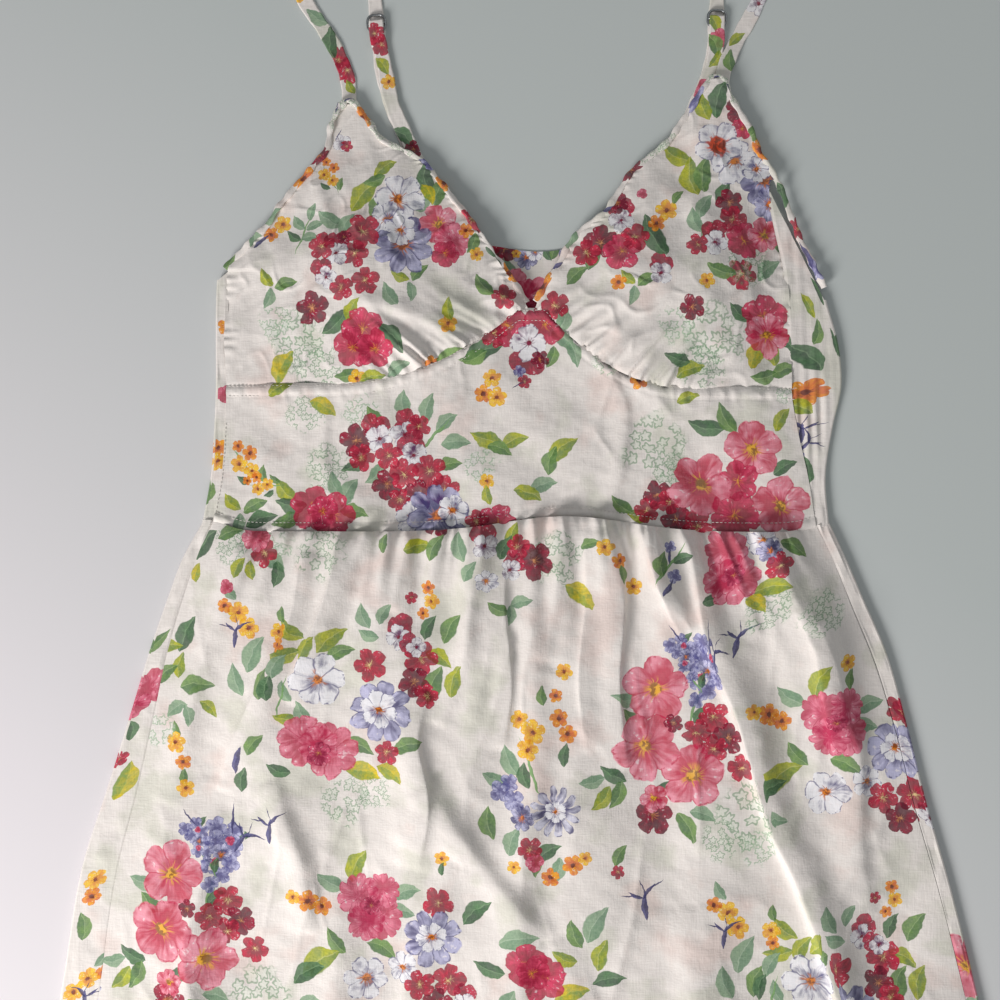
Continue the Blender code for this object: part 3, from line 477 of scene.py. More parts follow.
# The repeat of the print, from the middle of its largest bouquet.  The next column sits a third higher.
TILE = paints(
    # peony, anemones and violas
    ("hydrangea", -9, -60, 15), ("hydrangea", 9, -54, 11, 40), ("sage_leaf", -46, 21, 8, 60),
    ("deep_leaf", -52, 8, 8, 75), ("sage_leaf", -43, 5, 7, 110), ("stem", -45, 2, 14, 75),
    ("deep_leaf", -48, -42, 8, 160), ("lime_leaf", -44, -11, 7, 170), ("sage_leaf", -34, -8, 8, 120),
    ("mid_leaf", 0, -27, 10, -20), ("yellow_leaf", 3, -42, 11, -10), ("yellow_leaf", 19, -42, 9, -35),
    ("mid_leaf", 29, -25, 9, 20), ("lime_leaf", -16, 36, 11, 38), ("mid_leaf", -11, 28, 9, 20),
    ("sage_leaf", 3, 49, 8, 110), ("sage_leaf", 15, 51, 7, 60), ("sage_leaf", 6, 38, 7, 160),
    ("deep_leaf", 41, 43, 8, 65), ("mid_leaf", 54, 43, 10, 60), ("lime_leaf", 48, 25, 9, -30),
    ("mid_leaf", 44, 10, 12, 70), ("lime_leaf", 56, 12, 10, 75), ("anemone", -24, 12, 17),
    ("violet_anemone", 13, -6, 20), ("anemone", 12, -5, 12, 30), ("peony", -33, -24, 17, 20),
    ("peony", -17, -30, 18, 60), ("peony", -24, -27, 13), ("peony_heart", -24, -32, 8),
    ("primrose", 17, -30, 8), ("primrose", 7, 21, 11, 30), ("primrose", 37, 25, 11, 10),
    ("dark_primrose", 33, 11, 10, 50), ("primrose", 40, 3, 8), ("viola", 24, 39, 9, -10),
    ("viola", 33, 32, 7, 60), ("primrose", 31, 60, 4), ("orange_flower", 41, 66, 4.5),
    ("yellow_flower", 43, 58, 5, 30), ("orange_flower", 38, 51, 4),
    # dog roses, primroses and lavender
    ("hydrangea", 226, -64, 22), ("hydrangea", 210, -80, 13, 60), ("pale_sprig", 232, -84, 12),
    ("sage_leaf", 155, 2, 9, 170), ("mid_leaf", 160, -10, 9, 140), ("deep_leaf", 148, -42, 9, 150),
    ("sage_leaf", 136, -46, 8, 190), ("lime_leaf", 142, -56, 9, 230), ("mid_leaf", 151, -54, 9, 245),
    ("deep_leaf", 178, -50, 8, 200), ("mid_leaf", 191, -72, 10, -60), ("sage_leaf", 200, -64, 8, -20),
    ("lavender", 201, 14, 24, -22), ("lavender", 191, 24, 16, 20), ("primrose", 206, -8, 10),
    ("primrose", 196, -17, 9, 40), ("dark_primrose", 214, -20, 10, 10), ("primrose", 222, -37, 9, 50),
    ("primrose", 206, -26, 9, 20), ("dark_primrose", 172, -66, 12), ("dog_rose", 172, -56, 9, 20),
    ("dog_rose", 194, -42, 20, 30), ("dog_rose", 173, 8, 21), ("dog_rose", 167, -26, 21, 50),
    ("dark_primrose", 183, -12, 6),
    # spiky daisy, lilac florets and yellow sprig
    ("stem", 100, -36, 18, 110), ("sage_leaf", 88, -34, 10, 115), ("sage_leaf", 79, -45, 8, 160),
    ("mid_leaf", 76, -70, 10, 100), ("sage_leaf", 90, -80, 9, 70), ("deep_leaf", 97, -42, 8, 100),
    ("deep_leaf", 110, -87, 10, 35), ("sage_leaf", 116, -98, 8, 250), ("mid_leaf", 103, -94, 8, 280),
    ("lilac_floret", 83, -52, 7), ("lilac_floret", 91, -57, 7, 40), ("violet_anemone", 96, -66, 8),
    ("lilac_floret", 88, -47, 6, 20), ("daisy", 115, -63, 16), ("anemone", 115, -63, 7),
    ("primrose", 100, -84, 8, 60), ("pink_bud", 103, -93, 6, 30), ("orange_flower", 125, -94, 6.5),
    ("yellow_flower", 132, -90, 4.5), ("orange_flower", 112, -102, 6, 30), ("yellow_flower", 91, -95, 4.5),
    ("mid_leaf", 107, 4, 6, 95), ("deep_leaf", 120, -30, 7, 80), ("yellow_flower", 94, -10, 6),
    ("yellow_flower", 102, -17, 8, 30), ("yellow_flower", 99, -27, 7, 10), ("orange_flower", 117, -9, 6),
    ("orange_flower", 122, -18, 6, 40), ("orange_flower", 115, 4, 4.5), ("yellow_flower", 120, 18, 5.5, 20),
    # carnation, violet anemone and violas
    ("lime_leaf", -2, -98, 11, 65), ("sage_leaf", -18, -108, 9, 150), ("mid_leaf", -14, -141, 9, 130),
    ("lime_leaf", -23, -153, 14, 35), ("deep_leaf", -30, -160, 11, 30), ("sage_leaf", -28, -178, 9),
    ("mid_leaf", 14, -146, 10, -30), ("sage_leaf", 28, -112, 9, 20), ("deep_leaf", 69, -122, 11, 40),
    ("sage_leaf", 24, -124, 9), ("orange_flower", -30, -118, 7), ("yellow_flower", -39, -116, 5, 20),
    ("orange_flower", -22, -122, 6, 40), ("anemone", 4, -163, 14), ("primrose", 47, -117, 10, 20),
    ("anemone", 26, -156, 10, 20), ("violet_anemone", 44, -138, 19), ("anemone", 43, -137, 10),
    ("primrose", 36, -166, 10), ("primrose", 53, -164, 11, 30), ("dark_primrose", 46, -178, 10),
    ("viola", 62, -176, 8), ("carnation", 0, -116, 14), ("carnation", 12, -127, 15, 30),
    ("carnation", 14, -112, 11), ("carnation", 4, -130, 12, 60), ("peony_heart", 7, -121, 6),
    # red camellia
    ("sage_leaf", 94, -137, 12, 10), ("deep_leaf", 76, -156, 10, 160), ("sage_leaf", 138, -128, 12, 60),
    ("mid_leaf", 126, -134, 9, 110), ("lime_leaf", 141, -146, 10, 75), ("yellow_leaf", 124, -168, 11, 20),
    ("deep_leaf", 146, -160, 10, 10), ("lime_leaf", 120, -148, 8, 160), ("sage_leaf", 86, -176, 10, 230),
    ("red_rose", 98, -152, 14), ("red_rose", 108, -160, 15, 40), ("red_rose", 102, -157, 11, 10),
    # lone birds, small flowers and leaves
    ("bird", -73, 40, 8), ("bird", -53, -74, 9, 10), ("bird", 216, 30, 9, -30), ("bird", 166, -114, 10, 15),
    ("yellow_flower", -46, 40, 6), ("orange_flower", -45, 33, 4.5, 30), ("mid_leaf", -45, 50, 5, 95),
    ("ink_stroke", -72, -36, 9, 75), ("deep_leaf", -70, -48, 8, 80), ("mid_leaf", -62, -26, 8, 50),
    ("yellow_flower", 49, -91, 5), ("deep_leaf", 49, -97, 4, 80), ("mid_leaf", 152, -88, 7, 60),
    ("primrose", 151, -98, 4.5), ("sage_leaf", 209, -108, 6, 120), ("yellow_flower", 214, -120, 7),
    ("yellow_flower", 220, -129, 7, 30), ("orange_flower", 206, -116, 5), ("sage_leaf", 223, -144, 12, 65),
    ("sage_leaf", 212, -160, 10, 110), ("mid_leaf", 230, -160, 10, 75), ("lime_leaf", 246, -130, 9, 140),
    ("lime_leaf", 256, -140, 9, 60), ("lime_leaf", 243, -144, 9, 190),
)
TILE_WIDTH = 285.0
TILE_HEIGHT = 283.0
TILE_CLIMB = 112.0
TILE_MIDDLE = (-101, -102)      # where the large bouquet lies on the skirt's front

# What lies along the skirt's gathered waist and left side
SKIRT_PRINT = paints(
    ("hydrangea", -123, -16, 17), ("sage_leaf", -151, -21, 9, -40), ("deep_leaf", -149, -29, 8, 260),
    ("lime_leaf", -172, -24, 7, 60), ("lime_leaf", -165, -26, 6, 95), ("pink_bud", -179, -36, 5, 60),
    ("primrose", -157, -16, 9), ("peony", -162, -7, 9), ("mid_leaf", -86, -10, 6, 80),
    ("lime_leaf", -66, -12, 9, 10), ("mid_leaf", -56, -12, 9, 60), ("sage_leaf", -42, -12, 9, 100),
    ("sage_leaf", -36, -26, 7, 60), ("hydrangea", 14, -18, 17), ("lime_leaf", -11, -6, 9, 80),
    ("deep_leaf", -16, -12, 8, 60), ("viola", -27, -10, 9, 10), ("dark_primrose", 2, -20, 12),
    ("primrose", -8, -12, 8, 20), ("viola", -12, -24, 8, -20), ("anemone", -26, -32, 7),
    ("mid_leaf", -20, -48, 7, 150), ("sage_leaf", -6, -44, 7, 15), ("sage_leaf", -12, -52, 6, 265),
    ("mid_leaf", 34, -10, 6, 20), ("yellow_flower", 42, -12, 5.5), ("orange_flower", 50, -20, 5, 20),
    ("mid_leaf", 52, -28, 6, 280), ("yellow_flower", 59, -35, 5.5), ("yellow_leaf", 29, -40, 11, -40),
    ("bluebells", 80, -22, 13, -25), ("hydrangea", 144, -48, 15), ("deep_leaf", 108, -42, 7, 200),
    ("mid_leaf", 151, -12, 9, -30), ("lime_leaf", 142, -35, 11, 10), ("yellow_leaf", 136, -44, 8, -30),
    ("anemone", 132, -8, 10), ("violet_anemone", 136, -14, 8), ("primrose", 142, -22, 9, 20),
    ("peony", 112, -14, 14), ("peony", 120, -31, 16, 40), ("peony", 112, -30, 12),
    ("peony_heart", 118, -28, 7), ("yellow_flower", 198, -78, 5.5), ("mid_leaf", 200, -87, 6, 80),
    ("deep_leaf", -205, -64, 12, 65), ("lime_leaf", -216, -72, 9, 10), ("lime_leaf", -209, -83, 8, 80),
    ("mid_leaf", -218, -88, 9, 40), ("mid_leaf", -198, -94, 11, 5), ("lime_leaf", -190, -108, 7, -50),
    ("sage_leaf", -210, -108, 8, 30), ("sage_leaf", -202, -112, 7, 280), ("yellow_leaf", -199, -28, 6, 80),
    ("mid_leaf", -210, -120, 5, 120), ("yellow_flower", -210, -128, 7),
    ("orange_flower", -206, -140, 5, 20), ("mid_leaf", -206, -149, 5, 90), ("yellow_flower", -205, -156, 6),
    ("pale_sprig", -224, -122, 12), ("deep_leaf", -194, -11, 11, 55), ("mid_leaf", -178, -4, 8, 20),
)
SKIRT_WRAP_PRINT = paints(
    ("mid_leaf", -229, -70, 9, 120), ("peony", -242, -97, 13), ("pink_bud", -240, -108, 9, 70),
    ("deep_leaf", -247, -122, 7, 60), ("primrose", -250, -140, 6), ("yellow_leaf", -262, -152, 12, 80),
    ("yellow_flower", -281, -212, 7), ("orange_flower", -283, -222, 6), ("mid_leaf", -284, -240, 9, 70),
    ("pink_bud", 212, -106, 8, 60),
)

# What falls on the pieces of the bodice, which were cut from other places of the cloth
MIDRIFF_PRINT = paints(
    ("hydrangea", -121, 34, 15), ("hydrangea", -134, 66, 13, 40), ("lime_leaf", -146, 21, 9, 130),
    ("deep_leaf", -142, 12, 10, 170), ("mid_leaf", -145, 3, 9, 200), ("sage_leaf", -108, 20, 10, 60),
    ("mid_leaf", -104, 8, 9, -10), ("sage_leaf", -116, 24, 8, 110), ("red_rose", -129, 10, 15),
    ("red_rose", -117, 6, 15, 40), ("red_rose", -123, 8, 10, 10), ("yellow_sprig", -169, 36, 12, 30),
    ("yellow_sprig", -160, 24, 9, 80), ("leaf_trio", -172, 8, 11, 20), ("deep_leaf", -160, 4, 10, 20),
    ("lime_leaf", -148, 82, 9, 30), ("yellow_leaf", -122, 70, 9, -30), ("pale_sprig", -100, 66, 12),
    ("sage_leaf", -75, 71, 9, 95), ("sage_leaf", -61, 69, 9, 75), ("sage_leaf", -50, 61, 8, 40),
    ("sage_leaf", -44, 49, 9, 5), ("stem", -58, 52, 16, 45), ("mid_leaf", -92, 64, 8, 130),
    ("deep_leaf", -104, 36, 9, 210), ("sage_leaf", -92, 30, 8, 230), ("mid_leaf", -48, 36, 8, 10),
    ("lime_leaf", -27, 51, 10, 165), ("lime_leaf", -10, 50, 9, 20), ("mid_leaf", -18, 45, 8, -20),
    ("lime_leaf", 18, 45, 11, 40), ("mid_leaf", 11, 38, 9, 75), ("sage_leaf", 7, 24, 9, 20),
    ("lime_leaf", -2, 19, 9, -20), ("pale_sprig", -30, 34, 11), ("yellow_flower", -26, 26, 5),
    ("lime_leaf", -26, 18, 6, 100), ("dark_primrose", -103, 50, 11), ("primrose", -100, 40, 9, 30),
    ("viola", -90, 53, 10, 20), ("primrose", -84, 41, 9), ("viola", -74, 55, 10, -10),
    ("primrose", -66, 58, 8), ("viola", -69, 43, 10, 10), ("dark_primrose", -85, 24, 10),
    ("primrose", -75, 30, 10, 40), ("primrose", -60, 32, 11, 10), ("primrose", -51, 21, 10, 30),
    ("dark_primrose", -66, 18, 10), ("primrose", -78, 15, 8, 20), ("anemone", -70, 4, 11),
    ("violet_anemone", -55, 6, 20), ("anemone", -46, 9, 10), ("red_rose", -20, 1, 13),
    ("primrose", -32, 2, 8), ("dark_primrose", -8, -4, 9, 20), ("deep_leaf", 2, 0, 9, 10),
    ("yellow_flower", -23, 86, 6), ("orange_flower", -28, 77, 6, 20), ("yellow_flower", -20, 75, 6.5),
    ("deep_leaf", -28, 102, 12, 20), ("mid_leaf", -34, 98, 9, 200), ("sage_leaf", 19, 108, 9, -40),
    ("sage_leaf", 25, 100, 8, -70), ("mid_leaf", 12, 98, 7, 250), ("red_rose", -14, 117, 13),
    ("red_rose", 8, 117, 14, 30), ("primrose", -22, 112, 9), ("viola", -2, 104, 13, 180),
    ("dark_primrose", 5, 97, 6), ("lilac_floret", -7, 90, 4), ("primrose", -4, 84, 4.5),
    ("fine_stroke", -8, 82, 4, 30), ("pale_sprig", 44, 96, 10), ("orange_flower", 62, 84, 6),
    ("hydrangea", 70, 46, 20), ("hydrangea", 82, 30, 14, 30), ("deep_leaf", 101, 57, 11, 170),
    ("mid_leaf", 112, 62, 10, 120), ("lime_leaf", 62, 6, 8, 170), ("mid_leaf", 52, 12, 8, 140),
    ("dark_primrose", 73, 18, 9), ("primrose", 67, 9, 8, 20), ("dark_primrose", 84, 4, 10),
    ("primrose", 96, 0, 10, 30), ("primrose", 80, 14, 8), ("red_rose", 118, 6, 16, 20),
    ("dog_rose", 144, 12, 18), ("dog_rose", 128, 44, 18, 40), ("red_rose", 120, 26, 13),
    ("dog_rose", 98, 24, 20, 10), ("lime_leaf", 144, 62, 8, 60), ("deep_leaf", 146, 34, 8, 30),
    ("pale_sprig", 148, 78, 10), ("lime_leaf", 90, 74, 7, 20),
)
LEFT_CUP_PRINT = paints(
    ("hydrangea", -138, 108, 19), ("hydrangea", -126, 92, 15, 40), ("pale_sprig", -150, 120, 12),
    ("yellow_leaf", -147, 94, 11, 60), ("dark_primrose", -128, 127, 11), ("deep_leaf", -114, 118, 11, 220),
    ("lime_leaf", -104, 126, 8, 60), ("deep_leaf", -80, 109, 11, -50), ("mid_leaf", -108, 88, 8, 190),
    ("yellow_flower", -102, 86, 6), ("lime_leaf", -93, 87, 8, 10), ("sage_leaf", -78, 92, 8, 30),
    ("red_rose", -98, 114, 14), ("red_rose", -104, 104, 13, 50), ("red_rose", -91, 103, 12, 20),
    ("orange_flower", -57, 94, 5), ("mid_leaf", -47, 98, 10, 40), ("yellow_flower", -48, 117, 6),
    ("lime_leaf", -48, 126, 7, 95), ("sage_leaf", -82, 134, 8, 120), ("leaf_trio", -70, 142, 9, 40),
    ("primrose", -96, 142, 9), ("sage_spray", -134, 172, 13, -20), ("sage_leaf", -118, 179, 9, 150),
    ("sage_leaf", -108, 176, 8, 60), ("lime_leaf", -98, 194, 12, 45), ("mid_leaf", -90, 188, 9, 60),
    ("lime_leaf", -86, 210, 8, 35), ("mid_leaf", -92, 202, 7, 200), ("deep_leaf", -62, 203, 11, 95),
    ("mid_leaf", -54, 196, 10, 70), ("sage_leaf", -66, 188, 9, 200), ("yellow_leaf", -60, 194, 7, -60),
    ("anemone", -77, 191, 16), ("anemone", -84, 178, 12), ("dog_rose", -54, 176, 13),
    ("peony", -46, 166, 12), ("red_rose", -50, 158, 9, 20), ("orange_flower", -38, 172, 5),
    ("mid_leaf", -34, 164, 7, 250), ("yellow_flower", -32, 158, 4.5), ("violet_anemone", -74, 163, 19),
    ("anemone", -76, 172, 10), ("primrose", -98, 171, 12, 10), ("primrose", -102, 158, 9, 40),
    ("viola", -113, 160, 9), ("primrose", -122, 163, 9), ("dark_primrose", -109, 168, 5),
    ("yellow_sprig", -119, 206, 9, 20), ("viola_face", -112, 226, 6), ("primrose", -109, 224, 4),
    ("fine_stroke", -114, 231, 4, 60), ("yellow_flower", -147, 178, 6), ("orange_flower", -154, 172, 5),
    ("ink_stroke", -160, 168, 6, 40), ("primrose", -16, 133, 8), ("mid_leaf", -28, 140, 8, 130),
    ("viola", -120, 146, 8, 30), ("primrose", -110, 138, 8), ("leaf_trio", -152, 140, 10, 10),
)
RIGHT_CUP_PRINT = paints(
    ("hydrangea", 104, 108, 21), ("hydrangea", 96, 92, 16, 30), ("pale_sprig", 84, 116, 12),
    ("lime_leaf", 91, 90, 9, 20), ("deep_leaf", 84, 96, 8, 160), ("dark_primrose", 92, 125, 8),
    ("deep_leaf", 146, 108, 10, -50), ("yellow_leaf", 130, 100, 10, 60), ("lime_leaf", 139, 101, 9, 100),
    ("deep_leaf", 120, 122, 9, 150), ("red_rose", 134, 120, 15), ("dog_rose", 136, 110, 14, 40),
    ("mid_leaf", 146, 90, 8, 20), ("mid_leaf", 134, 86, 8, 190), ("sage_leaf", 18, 118, 9, 250),
    ("primrose", 14, 128, 9), ("leaf_trio", 60, 138, 9, 20), ("viola", 74, 146, 8),
    ("primrose", 120, 144, 10), ("mid_leaf", 108, 146, 9, 160), ("sage_leaf", 136, 148, 9, 40),
    ("hydrangea", 124, 150, 14, 60), ("deep_leaf", 70, 167, 14, 115), ("mid_leaf", 36, 156, 9, 60),
    ("lime_leaf", 84, 215, 10, 150), ("lime_leaf", 92, 202, 12, 100), ("mid_leaf", 99, 203, 11, 85),
    ("sage_leaf", 99, 184, 8, 60), ("sage_leaf", 94, 175, 8, 110), ("sage_leaf", 102, 170, 7, 40),
    ("deep_leaf", 110, 192, 8, 60), ("deep_leaf", 108, 247, 11, 75), ("lime_leaf", 99, 243, 9, 110),
    ("dark_primrose", 120, 240, 9), ("red_rose", 122, 230, 7), ("mid_leaf", 142, 166, 11, -60),
    ("anemone", 117, 210, 15), ("pansy", 108, 220, 15), ("violet_anemone", 134, 199, 16),
    ("anemone", 130, 206, 9), ("violet_anemone", 138, 186, 11), ("dark_primrose", 114, 186, 9),
    ("primrose", 116, 176, 9, 30), ("red_rose", 122, 164, 12), ("dog_rose", 134, 168, 11, 30),
    ("viola", 105, 164, 9), ("primrose", 95, 161, 7), ("yellow_flower", 78, 182, 7),
    ("orange_flower", 72, 174, 5.5), ("mid_leaf", 84, 190, 5, 50), ("dark_primrose", 40, 164, 11),
    ("red_rose", 52, 158, 12), ("primrose", 32, 158, 9), ("viola", 52, 178, 9),
    ("dark_primrose", 50, 187, 7), ("primrose", 60, 166, 9), ("pink_bud", 64, 192, 3.5),
    ("yellow_flower", 100, 140, 5), ("orange_flower", 50, 140, 5), ("mid_leaf", 26, 146, 8, 40),
)
BODICE_WRAP_PRINT = paints(
    ("deep_leaf", 197, 98, 11, 40), ("deep_leaf", 178, 106, 9, 80), ("mid_leaf", 192, 112, 8, 110),
    ("orange_flower", 191, 77, 9), ("lime_leaf", 192, 69, 8, 20), ("bird", 186, 56, 7),
    ("bird", 182, 48, 6, 40), ("lilac_floret", 187, 40, 5), ("deep_leaf", 183, 32, 11, 85),
    ("mid_leaf", 160, 150, 12, 110), ("deep_leaf", 178, 136, 9, 70), ("lime_leaf", 196, 128, 8, 60),
    ("orange_flower", -193, 46, 6), ("yellow_flower", -194, 38, 6), ("pink_bud", -194, 78, 6, 80),
    ("orange_flower", -195, 118, 6), ("mid_leaf", -193, 20, 8, 80), ("dark_primrose", -16, 163, 9, 20),
    ("primrose", -21, 167, 7), ("violet_anemone", -3, 158, 8), ("anemone", 2, 161, 6),
    ("deep_leaf", 9, 160, 5, 115), ("mid_leaf", 14, 162, 6, 60), ("yellow_flower", -9, 160, 3),
)
PRINT_LAYERS = 5        # how many painted things may overlap at one spot
OFF_PRINT = 9.0         # a place beyond any painted thing's edge


def painted_things(paints, at=(0.0, 0.0), scale=1.0, turn=0.0):
    """Every flower, leaf and stroke of the listed things and sprays, bottom ones first."""
    cosine, sine = np.cos(np.radians(turn)), np.sin(np.radians(turn))
    things = []
    for paint in paints:
        x = at[0] + scale * (paint.x * cosine - paint.y * sine)
        y = at[1] + scale * (paint.x * sine + paint.y * cosine)
        if paint.style in SPRAYS:
            things += painted_things(SPRAYS[paint.style], (x, y), scale * paint.size, turn + paint.turn)
        else:
            things.append(Paint(paint.style, x, y, scale * paint.size, turn + paint.turn))
    return things


def repeat_over(low, high, middle):
    """The print's repeat laid over a stretch of cloth."""
    reach = 270
    things = []
    leftmost = int((low[0] - middle[0] - reach) // TILE_WIDTH)
    rightmost = int((high[0] - middle[0] + reach) // TILE_WIDTH)
    for i in range(leftmost, rightmost + 1):
        climb = TILE_CLIMB * i
        lowest = int((low[1] - middle[1] - climb - reach) // TILE_HEIGHT)
        highest = int((high[1] - middle[1] - climb + reach) // TILE_HEIGHT) + 1
        for j in range(lowest, highest + 1):
            things += painted_things(TILE, (middle[0] + TILE_WIDTH * i, middle[1] + climb + TILE_HEIGHT * j))
    return things


def lay_print(mesh, cloth, things):
    """Tells each face of a cloth mesh which painted things lie on it, and where on each it is.

    cloth gives each vertex's place on the flat printed cloth.  The attributes print_0, print_1 and so on
    hold, for the topmost thing and those below it, the place in the thing's own measures and its style
    and seed.
    """
    corner_vertex = np.empty(len(mesh.loops), dtype=np.int32)
    mesh.loops.foreach_get("vertex_index", corner_vertex)
    corner_count = np.empty(len(mesh.polygons), dtype=np.int32)
    mesh.polygons.foreach_get("loop_total", corner_count)
    face = np.repeat(np.arange(len(corner_count)), corner_count)
    corners = cloth[corner_vertex]
    middles = np.stack([np.bincount(face, corners[:, k]) / corner_count for k in (0, 1)], axis=1)
    face_reach = np.zeros(len(middles))
    np.maximum.at(face_reach, face, np.linalg.norm(corners - middles[face], axis=1))
    styles = [STYLE_PLACES[thing.style] for thing in things]
    taken = np.full((PRINT_LAYERS, len(middles)), -1, dtype=np.int32)
    used = np.zeros(len(middles), dtype=np.int32)
    low, high = middles.min(axis=0), middles.max(axis=0)
    for i in reversed(range(len(things))):
        thing = things[i]
        reach = thing.size * 1.12
        if (thing.x < low[0] - reach or thing.x > high[0] + reach
                or thing.y < low[1] - reach or thing.y > high[1] + reach):
            continue
        turn = np.radians(thing.turn)
        away = middles - (thing.x, thing.y)
        u = away[:, 0] * np.cos(turn) + away[:, 1] * np.sin(turn)
        v = away[:, 1] * np.cos(turn) - away[:, 0] * np.sin(turn)
        style = STYLES[thing.style]
        is_leaf = FLOWER_STYLES <= styles[i] < len(STYLES) - LINE_STYLES
        half_width = thing.size * (style.notch + 0.16) if is_leaf else reach
        inside = (u / (reach + face_reach)) ** 2 + (v / (half_width + face_reach)) ** 2 < 1
        inside &= used < PRINT_LAYERS
        faces = np.flatnonzero(inside)
        taken[used[faces], faces] = i
        used[faces] += 1
    things_x = np.array([thing.x for thing in things])
    things_y = np.array([thing.y for thing in things])
    things_size = np.array([thing.size for thing in things])
    things_turn = np.radians([thing.turn for thing in things])
    seeds = np.random.default_rng(7).uniform(0.06, 0.94, len(things))
    codes = np.array(styles) + seeds
    for layer in range(PRINT_LAYERS):
        i = taken[layer][face]
        away_x, away_y = corners[:, 0] - things_x[i], corners[:, 1] - things_y[i]
        cosine, sine = np.cos(things_turn[i]), np.sin(things_turn[i])
        u = (away_x * cosine + away_y * sine) / things_size[i]
        v = (away_y * cosine - away_x * sine) / things_size[i]
        values = np.stack([u, v, codes[i]], axis=1)
        values[i < 0] = (OFF_PRINT, OFF_PRINT, 0)
        attribute = mesh.attributes.new(f"print_{layer}", "FLOAT_VECTOR", "CORNER")
        attribute.data.foreach_set("vector", values.astype(np.float32).ravel())


# ---------------------------------------------------------------- materials

def add(tree, kind, *values, inputs=None, **settings):
    """Adds a shader or geometry node.

    values fill its inputs in order, and inputs fills others by name or number: each is a number or a link.
    settings are the node's own.
    """
    node = tree.nodes.new(kind)
    for name, setting in settings.items():
        setattr(node, name, setting)
    for place, value in (*enumerate(values), *(inputs or {}).items()):
        if isinstance(value, Number):
            value = value.socket
        if isinstance(value, bpy.types.NodeSocket):
            tree.links.new(value, node.inputs[place])
        elif value is not None:
            node.inputs[place].default_value = value
    return node


class Number:
    """A number that nodes work out, so that what they do reads as arithmetic."""

    def __init__(self, socket):
        self.socket = socket

    def by(self, operation, *others):
        return summed(self.socket.id_data, operation, self, *others)

    def __add__(self, other):
        return self.by("ADD", other)

    def __sub__(self, other):
        return self.by("SUBTRACT", other)

    def __rsub__(self, other):
        return summed(self.socket.id_data, "SUBTRACT", other, self)

    def __mul__(self, other):
        return self.by("MULTIPLY", other)

    def __truediv__(self, other):
        return self.by("DIVIDE", other)

    def __pow__(self, other):
        return self.by("POWER", other)

    def __abs__(self):
        return self.by("ABSOLUTE")

    def held(self):
        """The number kept between 0 and 1."""
        return self.by("MAXIMUM", 0.0).by("MINIMUM", 1.0)


def summed(tree, operation, *values):
    return Number(add(tree, "ShaderNodeMath", *values, operation=operation).outputs[0])


def blend(tree, amount, first, second, **settings):
    """A mix of two colours: the first where amount is 0, the second where it is 1."""
    return add(tree, "ShaderNodeMix", inputs={0: amount, 6: first, 7: second}, data_type="RGBA",
               **settings).outputs[2]


def style_ramp(tree, place, read):
    """A stepped ramp that holds one colour for each style of the print."""
    ramp = add(tree, "ShaderNodeValToRGB", place)
    ramp.color_ramp.interpolation = "CONSTANT"
    elements = ramp.color_ramp.elements
    elements[1].position = 1 / STYLE_SLOTS
    for i, style in enumerate(STYLES.values()):
        element = elements[i] if i < 2 else elements.new(i / STYLE_SLOTS)
        element.color = read(style)
    return ramp.outputs["Color"]


